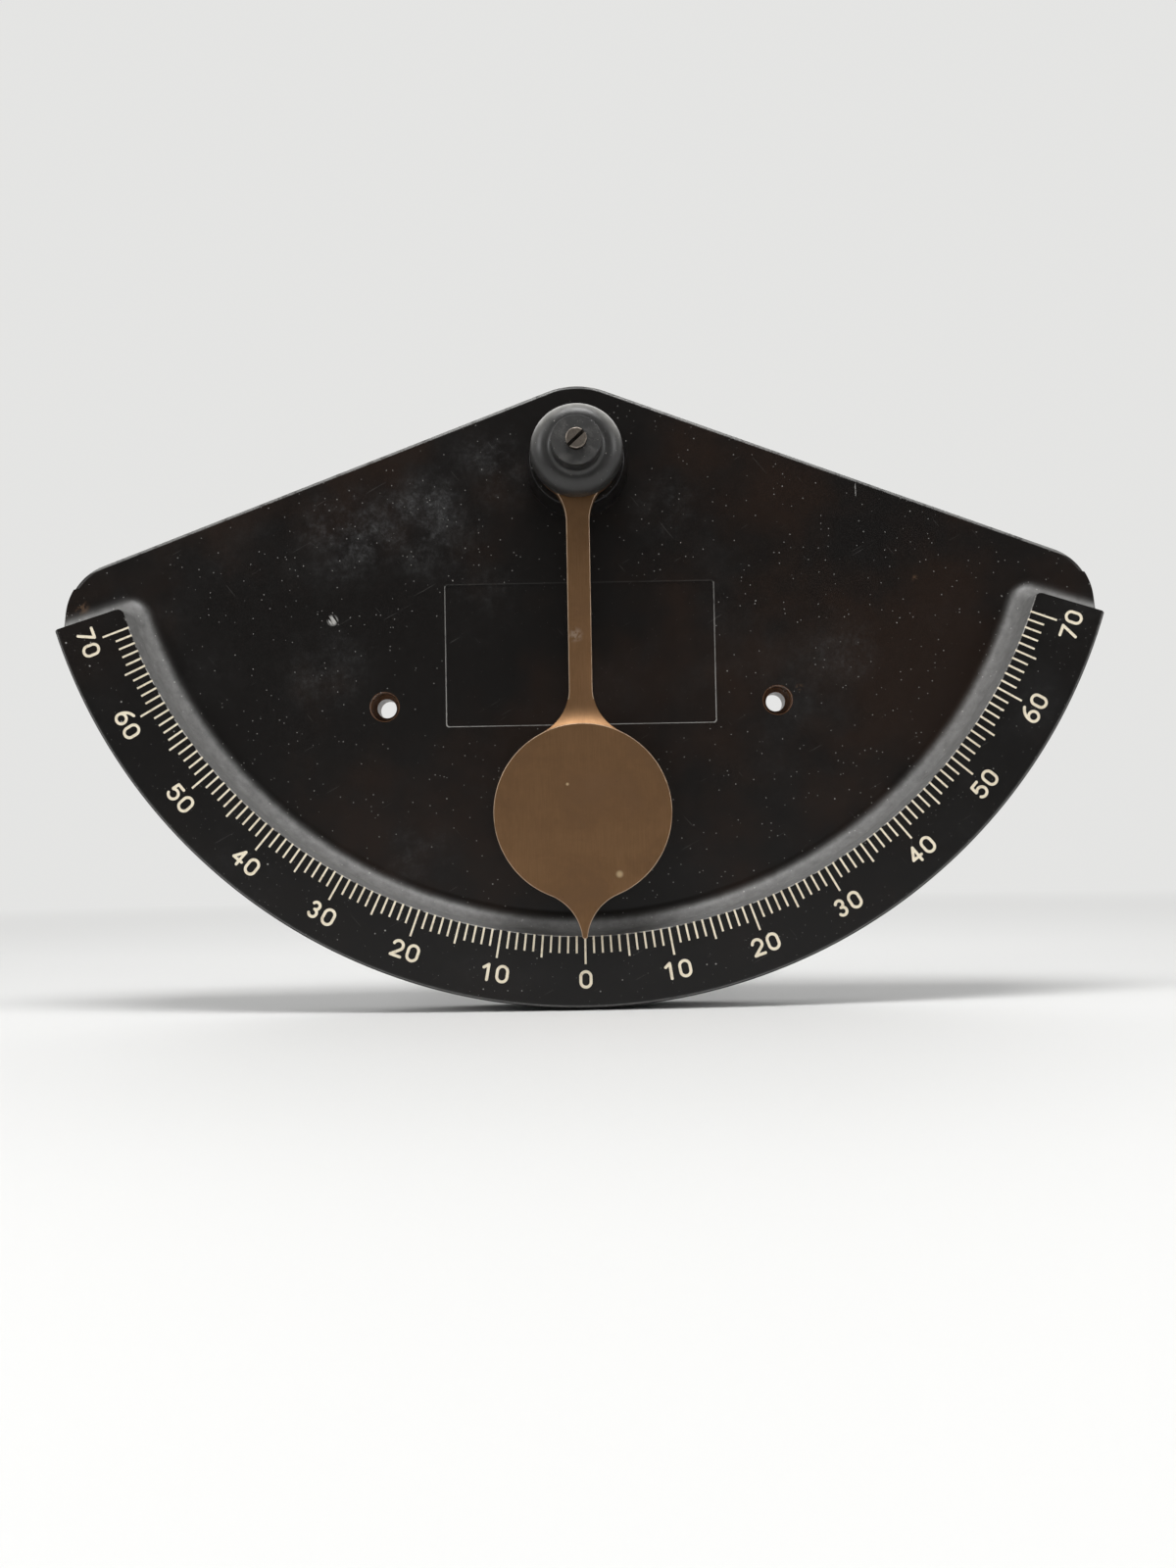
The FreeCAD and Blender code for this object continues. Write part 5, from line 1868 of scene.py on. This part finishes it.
class Inclinometer:
    """The whole instrument: new pieces on their bodies, and finishes for every node."""

    def __init__(self, frame: dict[str, Any]) -> None:
        """Keep the frame and make the finishes.
        """
        self.nodes = frame["nodes"]
        self.cap = PivotCap()
        self.dial = DialBody()
        hole_x = self.dial.hole_x
        panel_top = self.dial.pivot[1] - self.dial.panel_top
        self.phenolic = MouldedPhenolic(
            plate_face=self.dial.plate_face, rim_face=self.dial.rim_face, pivot=self.dial.pivot,
            scale_radius=self.dial.scale_radius, rim_radius=self.dial.rim_radius,
            hole_spots=((-hole_x, 0.0), (hole_x, 0.0)), apex=(self.dial.apex_radius, self.dial.slope),
            panel=(self.dial.panel_width / 2, panel_top, panel_top - self.dial.panel_height)).material()
        self.pendulum = Pendulum()
        self.bronze = AgedBronze(
            arm_face=self.pendulum.arm_face, bob_face=self.pendulum.bob_face, chamfer=self.pendulum.chamfer,
            bob_centre=self.pendulum.bob_centre, bob_reach=self.pendulum.bob_radius).material()
        self.cap_finish = CapPhenolic(
            nose_face=self.cap.nose_face, shoulder=self.cap.shoulder, middle=self.cap.pivot[1],
            radius=self.cap.radius).material()
        self.steel = Metal("turned_steel", (0.50, 0.49, 0.47), (0.22, 0.18, 0.14), 0.34).material()
        self.screw_steel = Metal("worn_screw_steel", (0.27, 0.235, 0.20), (0.06, 0.046, 0.037), 0.36, 0.75,
                                 dirt_and_shade_from=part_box("cap_screw")[0].y + 0.45 * MM).material()

    def build(self) -> None:
        """Build each piece, set it on its body and report it."""
        self._place(self.dial.build(), self.phenolic, Body.DIAL, "dial_body", "phenolic")
        self._place(self.pendulum.build(), self.bronze, Body.PENDULUM, "pendulum", "pendulum_bronze")
        self._place(self.cap.build_cap(), self.cap_finish, Body.DIAL, "pivot_cap", "cap_phenolic")
        self._place(self.cap.build_screw(), self.screw_steel, Body.DIAL, "cap_screw", "screw_steel")
        self._dress_nodes()

    @staticmethod
    def _place(piece: bpy.types.Object, material: bpy.types.Material, body: Body, node: str,
               slot: str) -> None:
        """Dress a new piece and set it in its node's stead.

        Args:
            piece: The new piece.
            material: The finish.
            body: The body that it rides on.
            node: The node that it stands for.
            slot: A material slot's name, which is not used.
        """
        Bench.dress(piece, material)
        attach(piece, body.value)
        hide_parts(node)
        LOG.info("%s stands for %s with %d faces", piece.name, node, len(piece.data.polygons))

    def _dress_nodes(self) -> None:
        """Give the nodes that stay their finishes."""
        paint = ScalePaint().material()
        insert = Metal("insert_brass", (0.62, 0.45, 0.20), (0.28, 0.18, 0.08), 0.38, 0.6).material()
        cage = Metal("cage_brass", (0.66, 0.50, 0.24), (0.35, 0.24, 0.10), 0.32).material()
        ground = Metal("bearing_steel", (0.68, 0.68, 0.68), (0.42, 0.40, 0.38), 0.14, 0.25).material()
        finishes = {"scale_graduations": paint, "scale_numerals": paint, "pivot_insert": insert,
                    "pivot_stud": self.steel, "bearing_washer": self.steel, "pivot_nut": self.steel,
                    "bearing_cage": cage}
        for name, node in self.nodes.items():
            if name in ("dial_body", "pendulum", "pivot_cap", "cap_screw"):
                continue
            Bench.dress(node, finishes.get(name, ground))
            LOG.info("%s keeps its shape and gets %s", name, node.data.materials[0].name)


def main() -> None:
    """Load the frame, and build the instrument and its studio."""
    logging.basicConfig(level=logging.INFO, format="%(name)s: %(message)s")
    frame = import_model()
    cad_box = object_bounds()
    bpy.context.scene.view_settings.view_transform = "Standard"
    Inclinometer(frame).build()
    Studio().build(cad_box[0].z)


if __name__ == "__main__":
    main()
